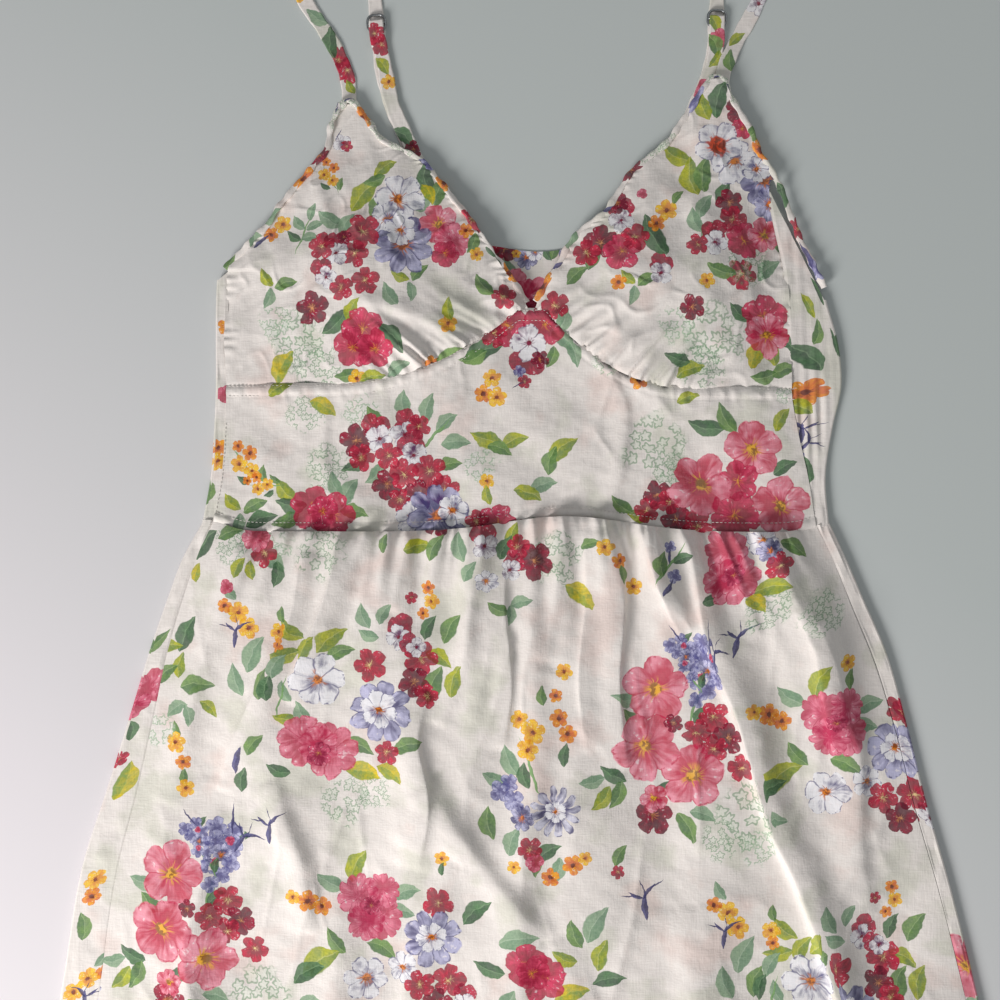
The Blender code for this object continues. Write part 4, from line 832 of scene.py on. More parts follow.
def painted_thing_group():
    """Paints one flower, leaf or line drawing of the print over a colour, in loose watercolour."""
    tree = bpy.data.node_groups.new("painted thing", "ShaderNodeTree")
    tree.interface.new_socket("Under", in_out="INPUT", socket_type="NodeSocketColor")
    tree.interface.new_socket("Spot", in_out="INPUT", socket_type="NodeSocketVector")
    tree.interface.new_socket("Colour", in_out="OUTPUT", socket_type="NodeSocketColor")
    given = add(tree, "NodeGroupInput")
    result = add(tree, "NodeGroupOutput")

    def step(value, start, end):
        """0 at start and 1 at end, with soft ends."""
        return Number(add(tree, "ShaderNodeMapRange", value, start, end, 0.0, 1.0,
                          interpolation_type="SMOOTHSTEP", clamp=False).outputs[0])

    def cover_with(amount, under, over):
        """A colour with another laid over it, by an amount or only where a shape is."""
        return blend(tree, amount, under, over)

    spot = add(tree, "ShaderNodeSeparateXYZ", given.outputs["Spot"])
    code = Number(spot.outputs["Z"])
    style = code.by("FLOOR")
    seed = code.by("FRACT") * 53.0
    place = (style + 0.5) / STYLE_SLOTS
    dark = style_ramp(tree, place, lambda s: colour(s.dark))
    light = style_ramp(tree, place, lambda s: colour(s.light))
    centre = style_ramp(tree, place, lambda s: colour(s.centre))
    measures = style_ramp(tree, place, lambda s: (s.petals / MOST_PETALS, s.notch, s.heart, s.bright))
    form = add(tree, "ShaderNodeSeparateColor", measures)
    bright = Number(measures.node.outputs["Alpha"])
    petals = Number(form.outputs["Red"]) * MOST_PETALS
    notch = Number(form.outputs["Green"])
    heart = Number(form.outputs["Blue"])

    # the place, moved about a little so that no edge is even
    still = add(tree, "ShaderNodeCombineXYZ", spot.outputs["X"], spot.outputs["Y"], seed)
    wander = add(tree, "ShaderNodeTexNoise", still.outputs[0], inputs={"Scale": 1.7, "Detail": 2.0})
    shake = add(tree, "ShaderNodeSeparateColor", wander.outputs["Color"])
    u = (Number(shake.outputs["Red"]) - 0.5).by("MULTIPLY_ADD", 0.34, spot.outputs["X"])
    v = (Number(shake.outputs["Green"]) - 0.5).by("MULTIPLY_ADD", 0.34, spot.outputs["Y"])
    drift = Number(wander.outputs["Fac"])
    moved = add(tree, "ShaderNodeCombineXYZ", u, v, seed)
    grain = add(tree, "ShaderNodeTexNoise", moved.outputs[0], inputs={"Scale": 7.0, "Detail": 3.0})
    grain = Number(grain.outputs["Fac"])

    # a flower: petals cut apart by notches, pale towards their edges, with brush streaks and a darker rim
    angle = v.by("ARCTAN2", u) / 6.28318
    reach = (u * u + v * v).by("SQRT")
    petal = angle * petals + seed.by("FRACT")
    between = abs(petal.by("FRACT") - 0.5) * 2.0
    out = reach / (1.0 - notch * between ** 3.0 - grain * 0.12)
    streak = add(tree, "ShaderNodeCombineXYZ", angle * 30.0, reach * 1.6, seed)
    streak = add(tree, "ShaderNodeTexNoise", streak.outputs[0], inputs={"Scale": 1.0, "Detail": 2.0})
    streak = Number(streak.outputs["Fac"])
    petal_tone = add(tree, "ShaderNodeTexWhiteNoise", None, petal.by("FLOOR") + seed, noise_dimensions="1D")
    tone = bright + (out - 0.55) * 0.6 + (streak - 0.5) * 1.7 + (drift - 0.5) * 3.2
    tone = (tone + (Number(petal_tone.outputs["Value"]) - 0.5) * 0.34).held()
    flower = cover_with(tone, dark, light)
    flower = cover_with(step(grain, 0.56, 0.68) * step(tone, 0.55, 0.85) * 0.6, flower, colour("#FBF3F3"))
    flower = cover_with(step(between, 0.82, 1.0) * step(streak, 0.38, 0.5) * 0.8, flower, dark)
    flower = cover_with(step(out, 0.88, 0.96) * step(grain, 0.46, 0.55) * 0.85, flower, dark)
    brush_end = 0.78 - drift * 0.7
    brush = step(streak, 0.5, 0.58) * step(reach, brush_end, brush_end - 0.18)
    flower = cover_with(brush * 0.85, flower, dark)
    stamens = step(reach, heart + 0.22, heart) * step(streak, 0.52, 0.6) * step(heart, 0.02, 0.1)
    flower = cover_with(stamens * 0.8, flower, centre)
    middle = step(reach, heart + 0.02, heart - 0.07) * step(heart, 0.01, 0.05)
    brown = cover_with(0.75, centre, colour("#6B2A14"))
    flower = cover_with(middle, flower, cover_with(step(grain, 0.46, 0.56), brown, centre))
    flower_cover = step(out, 1.0, 0.955)

    # a leaf or a stroke: a pointed oval, one side of its rib lighter, with fine side veins
    bent = v + (u * u - 0.3) * (notch * 0.4)
    from_rib = abs(bent)
    taper = (1.0 - u * u) * (1.0 - u * 0.32)
    across = from_rib / (notch * taper).by("MAXIMUM", 0.0001)
    vein = ((from_rib * 1.3 - u) * 4.5).by("FRACT")
    vein = step(vein, 0.78, 0.94) * step(notch, 0.28, 0.32)
    leaf_tone = (step(bent, -0.02, 0.03) * 0.4 + (drift - 0.35) * 1.5 + (grain - 0.5) * 1.1).held()
    leaf = cover_with(leaf_tone, dark, light)
    leaf = cover_with(vein * 0.28, leaf, dark)
    leaf = cover_with(step(from_rib, 0.035, 0.01) * 0.4, leaf, centre)
    leaf_cover = step(across, 1.0, 0.86)

    # a line drawing: small five-petalled florets in fine outline over a faint wash
    flat = add(tree, "ShaderNodeCombineXYZ", u, v, 0.0)
    flat = add(tree, "ShaderNodeVectorMath", flat.outputs[0], inputs={"Scale": petals}, operation="SCALE")
    flat = add(tree, "ShaderNodeVectorMath", flat.outputs[0],
               add(tree, "ShaderNodeCombineXYZ", seed, seed, 0.0).outputs[0], operation="ADD").outputs[0]
    cells = add(tree, "ShaderNodeTexVoronoi", flat, inputs={"Scale": 1.0, "Randomness": 0.75},
                voronoi_dimensions="2D", feature="F1")
    inner = add(tree, "ShaderNodeVectorMath", flat, cells.outputs["Position"], operation="SUBTRACT")
    inner = add(tree, "ShaderNodeSeparateXYZ", inner.outputs[0])
    round_floret = Number(inner.outputs["Y"]).by("ARCTAN2", inner.outputs["X"])
    petal_edge = (round_floret * 5.0 + seed).by("COSINE") * 0.085 + 0.36
    from_middle = Number(cells.outputs["Distance"])
    line = step(abs(from_middle - petal_edge), 0.12, 0.05)
    wash = step(from_middle, petal_edge + 0.04, petal_edge)
    drawing = cover_with(line, light, dark)
    fading = step(reach + (drift - 0.5) * 1.1, 1.0, 0.72)
    drawing_cover = (line * 0.62).by("MAXIMUM", wash * 0.4) * fading

    is_leaf = style.by("GREATER_THAN", FLOWER_STYLES - 0.5)
    is_line = style.by("GREATER_THAN", len(STYLES) - LINE_STYLES - 0.5)
    paint = cover_with(is_line, cover_with(is_leaf, flower, leaf), drawing)
    cover = flower_cover
    for chosen, other in ((is_leaf, leaf_cover), (is_line, drawing_cover)):
        cover = add(tree, "ShaderNodeMapRange", chosen, 0.0, 1.0, cover, other, clamp=False).outputs[0]
    cover = Number(cover) * (drift * 0.3 + 0.78).held()
    tree.links.new(cover_with(cover, given.outputs["Under"], paint), result.inputs["Colour"])
    return tree


def new_material(name):
    """A new material, with its tree, its shader and the place on the piece that its textures read."""
    material = bpy.data.materials.new(name)
    material.use_nodes = True
    tree = material.node_tree
    place = add(tree, "ShaderNodeTexCoord").outputs["Object"]
    return material, tree, tree.nodes["Principled BSDF"], place


VOILE_WHITE = "#F3ECE6"
VOILE_SHADE = "#ECE4DE"
# faint tints laid over the cloth in random patches: painted cool shade (green) and painted warm light
# (pink), partly also the print under the thin cloth showing through
COOL_SHADE_TINT = "#EDF1EA"
WARM_LIGHT_TINT = "#FAF0EE"
TINT_MM = 34.0          # size of the faint tints: painted cool shade and warm light on the cloth, partly also what lies under the thin cloth
YARN_MM = 0.9           # a real voile's yarns, 0.3 mm apart, are too fine to show; its slubs are this wide
SLUB_MM = 9.0
CRINKLE_MM = 5.0


def printed_voile(group):
    """Cotton voile, plain woven from slubby yarns and screen printed: matt, thin, slightly crinkled."""
    material, tree, shader, place = new_material("printed cotton voile")
    slubs = []
    for long_way in ((1 / SLUB_MM, 1 / YARN_MM, 1 / YARN_MM), (1 / YARN_MM, 1 / SLUB_MM, 1 / YARN_MM)):
        mapping = add(tree, "ShaderNodeMapping", place, inputs={"Scale": [1 / MM * s for s in long_way]})
        slub = add(tree, "ShaderNodeTexNoise", mapping.outputs[0], inputs={"Scale": 1.0, "Detail": 2.0})
        slubs.append(slub.outputs["Fac"])
    weave = add(tree, "ShaderNodeMath", *slubs, operation="ADD").outputs[0]
    crinkle = add(tree, "ShaderNodeTexNoise", place,
                  inputs={"Scale": 1 / (CRINKLE_MM * MM), "Detail": 4.0, "Distortion": 0.4})
    cover = add(tree, "ShaderNodeMapRange", weave, 0.75, 1.3, 0.0, 1.0).outputs[0]
    ground = blend(tree, cover, colour(VOILE_SHADE), colour(VOILE_WHITE))
    # painted cool shade and warm light: random green and pink patches multiplied into the cloth's colour,
    # partly also the print under it showing through
    through = add(tree, "ShaderNodeTexNoise", place, inputs={"Scale": 1 / (TINT_MM * MM), "Detail": 3.0})
    tints = add(tree, "ShaderNodeValToRGB", through.outputs["Fac"])
    for at, tint in ((0.36, COOL_SHADE_TINT), (0.46, "#FFFFFF"), (0.56, "#FFFFFF"), (0.68, WARM_LIGHT_TINT)):
        element = tints.color_ramp.elements.new(at)
        element.color = colour(tint)
    tints.color_ramp.elements[0].color = colour(COOL_SHADE_TINT)
    tints.color_ramp.elements[-1].color = colour(WARM_LIGHT_TINT)
    painted = blend(tree, 1.0, ground, tints.outputs["Color"], blend_type="MULTIPLY")
    for layer in reversed(range(PRINT_LAYERS)):
        spot = add(tree, "ShaderNodeAttribute", attribute_name=f"print_{layer}").outputs["Vector"]
        thing = add(tree, "ShaderNodeGroup", node_tree=group, inputs={"Under": painted, "Spot": spot})
        painted = thing.outputs["Colour"]
    tree.links.new(painted, shader.inputs["Base Color"])
    heights = add(tree, "ShaderNodeMath", weave, 0.5, crinkle.outputs["Fac"], operation="MULTIPLY_ADD")
    relief = add(tree, "ShaderNodeBump",
                 inputs={"Strength": 0.3, "Distance": 0.9 * MM, "Height": heights.outputs[0]})
    tree.links.new(relief.outputs[0], shader.inputs["Normal"])
    shader.inputs["Roughness"].default_value = 0.88
    shader.inputs["Specular IOR Level"].default_value = 0.25
    shader.inputs["Sheen Weight"].default_value = 0.12
    shader.inputs["Sheen Roughness"].default_value = 0.5
    return material


def sewing_thread():
    """Spun cotton sewing thread, white: matt, with a fine twist."""
    material, tree, shader, place = new_material("white cotton sewing thread")
    twist = add(tree, "ShaderNodeTexNoise", place, inputs={"Scale": 1 / (0.5 * MM)}).outputs["Fac"]
    tree.links.new(blend(tree, twist, colour("#D9D1CB"), colour("#F4EFEA")), shader.inputs["Base Color"])
    shader.inputs["Roughness"].default_value = 0.7
    return material


def satin_nickel():
    """Nickel-plated zinc, tumbled to a satin: a dull grey metal with faint scuffs."""
    material, tree, shader, place = new_material("satin nickel plate")
    scuff = add(tree, "ShaderNodeTexNoise", place, inputs={"Scale": 1 / (0.8 * MM), "Detail": 4.0})
    scuff = scuff.outputs["Fac"]
    gloss = add(tree, "ShaderNodeMapRange", scuff, 0.3, 0.7, 0.24, 0.42)
    tree.links.new(gloss.outputs[0], shader.inputs["Roughness"])
    tree.links.new(blend(tree, scuff, colour("#8C8F91"), colour("#A9ABAC")), shader.inputs["Base Color"])
    shader.inputs["Metallic"].default_value = 1.0
    return material


# ---------------------------------------------------------------- meshes

def placed(name, data):
    """A new object of the scene that holds a mesh, a light or a camera."""
    holder = bpy.data.objects.new(name, data)
    bpy.context.collection.objects.link(holder)
    return holder


def plain_mesh(name, vertices, faces):
    mesh = bpy.data.meshes.new(name)
    mesh.from_pydata(in_frame(vertices).tolist(), [], faces)
    mesh.shade_smooth()
    return placed(name, mesh)


def grid_faces(rows, columns, closed=False):
    """Quads of a grid of points, facing up where rows run down the cloth and columns run to the right."""
    r, c = np.meshgrid(np.arange(rows - 1), np.arange(columns if closed else columns - 1), indexing="ij")
    a = (r * columns + c).ravel()
    b = (r * columns + (c + 1) % columns).ravel()
    return np.stack([a, a + columns, b + columns, b], axis=1)


def cloth_sheet(name, points, cloth, things, node):
    """A thin sheet of printed voile from a grid of points, in the place of a solid of the frame."""
    rows, columns = points.shape[:2]
    piece = plain_mesh(name, points.reshape(-1, 3), grid_faces(rows, columns).tolist())
    finish_cloth(piece, cloth.reshape(-1, 2), things, node)
    return piece


def finish_cloth(piece, cloth, things, *nodes):
    lay_print(piece.data, cloth, things)
    piece.data.materials.append(voile)
    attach(piece, "root")
    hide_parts(*nodes)


def heights_of_front(x, y, left, right):
    return WRAP_LAYER + (front_height(x, y) - WRAP_LAYER) * side_fade(x, left, right)


def in_bouquet(thing):
    """Whether a thing high on the skirt is of the bouquets there, and not of the repeat's next row up."""
    from_middle = thing.x - TILE_MIDDLE[0]
    return -80 < from_middle < 62 or 62 < thing.x < 122 and thing.y < -56


def skirt_front_things():
    far_right = SKIRT[-1].right_fold + PLEAT_TAKES
    things = repeat_over((SKIRT[-1].left_fold, HEM), (far_right, WAIST), TILE_MIDDLE)
    return [thing for thing in things if thing.y < -48 or in_bouquet(thing)] + painted_things(SKIRT_PRINT)


def skirt_front():
    rows, columns = 240, 400
    down = np.linspace(0, 1, rows)[:, None]
    side = np.linspace(0, 1, columns)[None, :]
    level = WAIST + (HEM - WAIST) * down
    left = column(SKIRT, "left_seam", level)
    right = column(SKIRT, "right_seam", level)
    x = left + (right - left) * side
    top = waist(x) + SEAM_TUCK
    y = top + (hem(x) - top) * down
    depth = waist(x) - y
    z = heights_of_front(x, y, left, right)
    wide = (right - left) * side
    fullness = np.clip(0.7 + 0.6 * ripples(wide, 0 * wide, 60, 3), 0.15, 1.3)
    along_seam = side + 0 * down
    low_down = np.maximum(depth, 0)
    z += fullness * gathers(along_seam, low_down, count=58, seed=11, height=3.2, reach=24)
    z += gathers(along_seam, low_down, count=24, seed=12, height=5.0, reach=95)
    z += gathers(along_seam, low_down, count=9, seed=13, height=3.5, reach=190)
    settled = np.clip(depth / 40, 0, 1)
    z = z + 2.6 * ripples(x + 0.25 * y, y * 0.3, 34, 4) * settled + 1.7 * ripples(x, y, 32, 14) * settled
    z = (z + 1.1 * creases(x, y * 0.7, 42, 15) * settled
         + 0.9 * creases(x, y * 0.45, 24, 16) * (0.4 + 0.6 * settled))
    z += 0.3 * ripples(x, y, 9, 5)
    z -= 2.0 * np.exp(-(np.maximum(depth, -2) + 2) / 1.8)
    edge = side_fade(x, left, right, 26)
    z = np.maximum(WRAP_LAYER + (z - WRAP_LAYER) * edge, FRONT_LOWEST)
    points = np.stack([x + fold_laps(x, y) * edge, y, z], axis=2)
    beyond_pleat = np.clip(route_offset(FOLDS[0].route, x, y)[0] / 3, 0, 1) * np.clip((-20 - y) / 60, 0, 1)
    cloth = np.stack([x + PLEAT_TAKES * beyond_pleat, y], axis=2)
    return cloth_sheet("skirt_front_cloth", points, cloth, skirt_front_things(), "skirt_front")


def midriff_front():
    rows, columns = 84, 300
    up = np.linspace(1, 0, rows)[:, None]
    side = np.linspace(0, 1, columns)[None, :]
    level = WAIST + (UNDERBUST[-1] - WAIST) * up
    left = column(BODICE, "left_seam", level)
    right = column(BODICE, "right_seam", level)
    x = left + (right - left) * side
    low_y, high_y = waist(x), underbust(x)
    y = low_y + (high_y - low_y) * up
    z = heights_of_front(x, y, left, right) + 0.35
    from_waist, from_top = y - low_y, high_y - y
    z += SEAM_RIDGE * (bump(from_waist - 3.2, 3.0) + bump(from_top - 4.2, 3.2))
    z -= 0.45 * (bump(from_waist - 6.6, 0.8) + bump(from_top - 1.4, 0.6) + bump(from_top - 7.4, 0.8))
    along_seam = side + 0 * up
    z += 0.8 * gathers(along_seam, np.abs(from_waist - 4.6), count=84, seed=21, height=0.9, reach=3.4)
    z += 0.8 * gathers(along_seam, np.abs(from_top - 5.4), count=76, seed=22, height=1.1, reach=4.6)
    inner = side_fade(x, left, right, 24) * np.clip(np.minimum(from_waist, from_top) / 12, 0.25, 1)
    z += (2.0 * ripples(x + 0.4 * y, y * 0.6, 34, 25) + 1.1 * creases(x + 0.3 * y, y, 30, 26)) * inner
    z += 0.5 * ripples(x, y, 14, 23) * inner + 0.16 * ripples(x, y, 5, 24)
    z -= 0.9 * (bump(from_waist, 0.7) + bump(from_top, 0.7))
    points = np.stack([x, y, z], axis=2)
    cloth = np.stack([x, y], axis=2)
    return cloth_sheet("midriff_front_cloth", points, cloth, painted_things(MIDRIFF_PRINT), "midriff_front")


def cup_outline(side, rows, columns):
    """The four edges of a cup: armhole side, neck side, underbust seam and strap end."""
    armhole_points, neck_points = (LEFT_ARMHOLE, LEFT_NECK) if side < 0 else (RIGHT_ARMHOLE, RIGHT_NECK)
    seam_name = "left_seam" if side < 0 else "right_seam"
    low = UNDERBUST[side]
    underarm = BODICE_TOPS[seam_name]
    inset = BINDING_WIDTH * 0.6
    armhole = moved_aside(smooth_route(armhole_points, 30), side * inset)
    neck = moved_aside(smooth_route(neck_points[::-1], 30), -side * inset)
    seam = [(column(BODICE, seam_name, level), level) for level in np.linspace(low, underarm, 5)]
    seam[0] = (seam[0][0], float(underbust(seam[0][0])) - SEAM_TUCK)
    edge = [tuple(place) for place in armhole if place[1] > underarm + 5]
    outer = smooth_route(seam + edge, rows)
    foot = (side * CUP_FOOT, PEAK - SEAM_TUCK)
    inner = smooth_route([foot] + [tuple(place) for place in neck if place[1] > PEAK + 5], rows)
    steps = np.linspace(0, 1, columns)
    bottom_x = seam[0][0] * (1 - steps) + foot[0] * steps
    bottom = np.column_stack([bottom_x, underbust(bottom_x) - SEAM_TUCK])
    return outer, inner, bottom


def cup_height(x, y):
    left = column(BODICE, "left_seam", y)
    right = column(BODICE, "right_seam", y)
    top = np.where(x < 0, BODICE_TOPS["left_seam"], BODICE_TOPS["right_seam"])
    fade = np.where(y < top, side_fade(x, left, right), 1.0)
    return WRAP_LAYER + (front_height(x, y) - WRAP_LAYER) * fade


def cup(name, node, side, placings, seed):
    rows, columns = 190, 170
    outer, inner, bottom = cup_outline(side, rows, columns)
    v = np.linspace(0, 1, rows)[:, None, None]
    u = np.linspace(0, 1, columns)[None, :, None]
    top = outer[-1] * (1 - u[0]) + inner[-1] * u[0]
    corners = ((1 - u) * (1 - v) * bottom[0] + u * (1 - v) * bottom[-1] + (1 - u) * v * top[0]
               + u * v * top[-1])
    plan = (1 - v) * bottom[None] + v * top[None] + (1 - u) * outer[:, None] + u * inner[:, None] - corners
    x, y = plan[..., 0], plan[..., 1]
    z = cup_height(x, y)
    rise = y - (bottom[None, :, 1] + SEAM_TUCK)
    u2, v2 = u[..., 0] + 0 * v[..., 0], v[..., 0] + 0 * u[..., 0]
    towards_middle = np.clip((u2 - (0.42 if side < 0 else 0.3)) / 0.2, 0, 1)
    risen = np.maximum(rise, 0)
    z += towards_middle * gathers(u2, risen, count=44, seed=seed, height=2.4, reach=18, lean=-0.0035)
    z += towards_middle * gathers(u2, risen, count=17, seed=seed + 1, height=3.0, reach=30, lean=-0.003)
    edge_pucker = np.clip(1 - np.minimum(u2, 1 - u2) * columns * 0.9 / 9, 0, 1) * np.clip(rise / 20, 0, 1)
    z += edge_pucker * 0.5 * np.sin(v2 * 150 + 3 * np.sin(v2 * 37 + seed))
    z += (1.8 * ripples(x, y, 30, seed + 4) + 0.7 * ripples(x, y, 13, seed + 2)
          + 0.16 * ripples(x, y, 5, seed + 3))
    z += (0.9 + 1.0 * bump(x - 52, 26) * bump(y - 108, 26)) * creases(x, y, 15, seed + 5)
    z -= 1.4 * np.exp(-(np.maximum(rise, -2) + 2) / 1.5)
    points = np.stack([x, y, np.maximum(z, FRONT_LOWEST)], axis=2)
    cloth = np.stack([x, y], axis=2)
    if side < 0:
        points, cloth = points[::-1], cloth[::-1]
    else:
        points, cloth = points[::-1, ::-1], cloth[::-1, ::-1]
    return cloth_sheet(name, points, cloth, painted_things(placings), node)


def across_back(x_of):
    """Where the columns of the back lie, from the left side seam round under the dress to the right one.

    Gives rows of place, height and turn: 0 under the dress, 1 or -1 at a fold, 2 or -2 at a side seam.
    """
    left_centre = x_of["left_fold"] + FOLD_TURN
    right_centre = x_of["right_fold"] - FOLD_TURN
    lift = UNDER_LAYER + FOLD_TURN
    parts = []
    for tuck in (SEAM_TUCK, 0.5 * SEAM_TUCK):
        parts.append((x_of["left_seam"] + tuck, WRAP_LAYER - 0.6, -2.0))
    for step in np.linspace(0, 1, 34)[:-1]:
        parts.append((x_of["left_seam"] * (1 - step) + left_centre * step, WRAP_LAYER - 0.05, -2 + step))
    for turn in np.radians(np.linspace(90, 270, 13)):
        parts.append((left_centre + FOLD_TURN * np.cos(turn), lift + FOLD_TURN * np.sin(turn), -1.0))
    for step in np.linspace(0, 1, 150)[1:-1]:
        parts.append((left_centre * (1 - step) + right_centre * step, UNDER_LAYER, 0.0))
    for turn in np.radians(np.linspace(-90, 90, 13)):
        parts.append((right_centre + FOLD_TURN * np.cos(turn), lift + FOLD_TURN * np.sin(turn), 1.0))
    for step in np.linspace(0, 1, 44)[1:]:
        parts.append((right_centre * (1 - step) + x_of["right_seam"] * step, WRAP_LAYER - 0.05, 1 + step))
    for tuck in (0.5 * SEAM_TUCK, SEAM_TUCK):
        parts.append((x_of["right_seam"] - tuck, WRAP_LAYER - 0.6, 2.0))
    x = np.stack([part[0] for part in parts], axis=1)
    z = np.array([part[1] for part in parts])[None, :] + 0 * x
    turned = np.array([part[2] for part in parts])[None, :] + 0 * x
    return x, z, turned


def back_sheet(name, node, levels, tops, top_edge, bottom_edge, rows, middle, wrap_print, seed, gather):
    """The back of the bodice or of the skirt, folded round to the front at both sides."""
    down = np.linspace(0, 1, rows)
    x_of = {side: column(levels, side, top * (1 - down) + levels[-1].height * down)
            for side, top in tops.items()}
    y_of = {side: top * (1 - down) + bottom_edge(x_of[side]) * down for side, top in tops.items()}
    x, z, turned = across_back(x_of)
    beyond = np.clip(np.abs(turned) - 1, 0, 1)
    is_left = turned < 0
    fold_y = np.where(is_left, y_of["left_fold"][:, None], y_of["right_fold"][:, None])
    seam_y = np.where(is_left, y_of["left_seam"][:, None], y_of["right_seam"][:, None])
    d = down[:, None]
    under_y = top_edge(x) * (1 - d) + bottom_edge(x) * d
    y = np.where(turned == 0, under_y, fold_y * (1 - beyond) + seam_y * beyond)
    on_top = np.clip((np.abs(turned) - 1) * 4, 0, 1) * np.clip((2 - np.abs(turned)) * 5, 0, 1)
    z += on_top * (0.5 * ripples(x, y, 11, seed) + 0.2 * ripples(x, y, 5, seed + 1))
    z += on_top * gather(x, y)
    z = np.maximum(z, UNDER_LAYER)
    flat_x = np.where(is_left, 2 * x_of["left_fold"][:, None] - x, 2 * x_of["right_fold"][:, None] - x)
    flat_x = np.where(beyond > 0, flat_x, x)
    points = np.stack([x, y, z], axis=2)
    cloth = np.stack([flat_x, y], axis=2)
    low, high = (flat_x.min(), y.min()), (flat_x.max(), y.max())
    inner_left, inner_right = x_of["left_fold"].max() + 6, x_of["right_fold"].min() - 6
    things = [thing for thing in repeat_over(low, high, middle)
              if inner_left < thing.x < inner_right or abs(thing.x) < 310 and thing.y < -250]
    things += painted_things(wrap_print)
    return cloth_sheet(name, points[:, ::-1], cloth[:, ::-1], things, node)


def skirt_back():
    tops = {name: float(waist(getattr(SKIRT[0], name))) + SEAM_TUCK for name in SIDES}

    def gather(x, y):
        return gathers((x + 310) / 606, np.maximum(WAIST - y, 0), count=90, seed=31, height=1.4, reach=26)

    carried_round = []
    for thing in skirt_front_things():
        x = thing.x - PLEAT_TAKES
        if x + thing.size > column(SKIRT, "right_seam", thing.y):
            mirrored = 2 * column(SKIRT, "right_fold", thing.y) - x
            carried_round.append(Paint(thing.style, mirrored, thing.y, thing.size, 180 - thing.turn))
    return back_sheet("skirt_back_cloth", "skirt_back", SKIRT, tops, lambda x: waist(x) + SEAM_TUCK, hem,
                      240, (60, -210), SKIRT_WRAP_PRINT + carried_round, 32, gather)


def bodice_back():
    def gather(x, y):
        near_right = np.clip((x - 140) / 10, 0, 1)
        pulled = 0.25 + bump(y - 60, 20)
        puckers = 0.5 * np.sin(x * 1.1 + 0.05 * y) + 0.4 * np.sin(x * 0.6 - 0.03 * y + 1)
        return near_right * pulled * puckers

    return back_sheet("bodice_back_cloth", "bodice_back", BODICE, BODICE_TOPS, back_top, waist, 120,
                      (20, 160), BODICE_WRAP_PRINT, 42, gather)


# ---------------------------------------------------------------- bindings, straps and sliders

def directions(line, tilts):
    """Across and through directions along a route, rolled by its tilts in degrees."""
    tangent = np.gradient(line, axis=0)
    tangent /= np.linalg.norm(tangent, axis=1)[:, None]
    across = np.cross(tangent, (0.0, 0.0, 1.0))
    across /= np.linalg.norm(across, axis=1)[:, None]
    through = np.cross(across, tangent)
    roll = np.radians(tilts)[:, None]
    return across * np.cos(roll) + through * np.sin(roll), through * np.cos(roll) - across * np.sin(roll)


def carried(line, across, through, outline):
    """Points of an outline carried along a route; it gives across and through at each place, or for all."""
    outline = np.broadcast_to(outline, (len(line), *np.shape(outline)[-2:]))
    return line[:, None] + across[:, None] * outline[..., :1] + through[:, None] * outline[..., 1:]


def closed_strip(name, rings, finish_ends=True):
    rows, sides = rings.shape[:2]
    faces = grid_faces(rows, sides, closed=True)[:, ::-1].tolist()
    if finish_ends:
        faces.append(list(range(sides))[::-1])
        faces.append([(rows - 1) * sides + k for k in range(sides)])
    return plain_mesh(name, rings.reshape(-1, 3), faces)


def upright(piece):
    """Turns a closed piece's faces outwards."""
    bm = bmesh.new()
    bm.from_mesh(piece.data)
    bmesh.ops.recalc_face_normals(bm, faces=bm.faces)
    bm.to_mesh(piece.data)
    bm.free()


# The neck bindings start at the armhole bindings and are rolled over the foot of the straps.
LEFT_APEX = [Point(-116, 247), Point(-110, 252.5)]
RIGHT_APEX = [Point(114, 256), Point(108, 261.5)]
BINDING_STYLES = ["hydrangea", "mid_leaf", "deep_leaf", "primrose", "orange_flower", "lilac_floret",
                  "ink_stroke", "sage_leaf", "dark_primrose"]


def binding(name, node, points, side, seed, apex_first):
    """A narrow rolled binding: bias-cut cloth turned over the edge, puckered by its stitching."""
    dice = np.random.default_rng(seed)
    count, sides = 260, 14
    plan = smooth_route(points, count)
    length = float(np.linalg.norm(np.diff(plan, axis=0), axis=1).sum())
    along = np.linspace(0, length, count)
    waver = 0.55 * np.sin(along / 7.3 + seed) + 0.4 * np.sin(along / 3.1 + 2 * seed)
    centre = moved_aside(plan, side * (BINDING_WIDTH / 2 - waver * 0.6))
    z = cup_height(centre[:, 0], centre[:, 1]) + 0.25 * np.sin(along / 4.7 + seed)
    line = np.column_stack([centre, z])
    tilt = 22 * np.sin(along / 11 + seed) + 14 * np.sin(along / 5.3)
    across, through = directions(line, tilt)
    angles = np.linspace(0, 2 * np.pi, sides, endpoint=False)
    fat = 1 + 0.16 * np.sin(along / 1.5 + dice.uniform(0, 6)) + 0.12 * np.sin(along / 2.3)
    ring = np.stack([BINDING_WIDTH / 2 * np.cos(angles), BINDING_DEPTH / 2 * np.sin(angles)], axis=1)
    ring = ring[None] * fat[:, None, None]
    groove = np.clip(np.cos(angles - np.pi / 2 - 0.5), 0, 1) ** 6
    ring[..., 1] -= 0.35 * groove
    rings = carried(line, across, through, ring)
    piece = closed_strip(name, rings)
    upright(piece)
    around = np.where(angles < np.pi * 1.5, angles, angles - 2 * np.pi) * 2.0
    cloth = np.stack(np.broadcast_arrays(around[None], along[:, None]), axis=2).reshape(-1, 2)
    apex = 7.0 if apex_first else length - 6.0
    things = [Paint("hydrangea", 2.5, apex, 12), Paint("ink_stroke", 4.0, apex + 3, 4, 70)]
    place = dice.uniform(2, 12)
    while place < length:
        style = BINDING_STYLES[int(dice.integers(len(BINDING_STYLES)))]
        if abs(place - apex) > 15:
            things.append(Paint(style, dice.uniform(1, 5), place, dice.uniform(6, 10),
                                dice.uniform(20, 160)))
        place += dice.uniform(10, 30)
    finish_cloth(piece, cloth, things, node)
    return piece


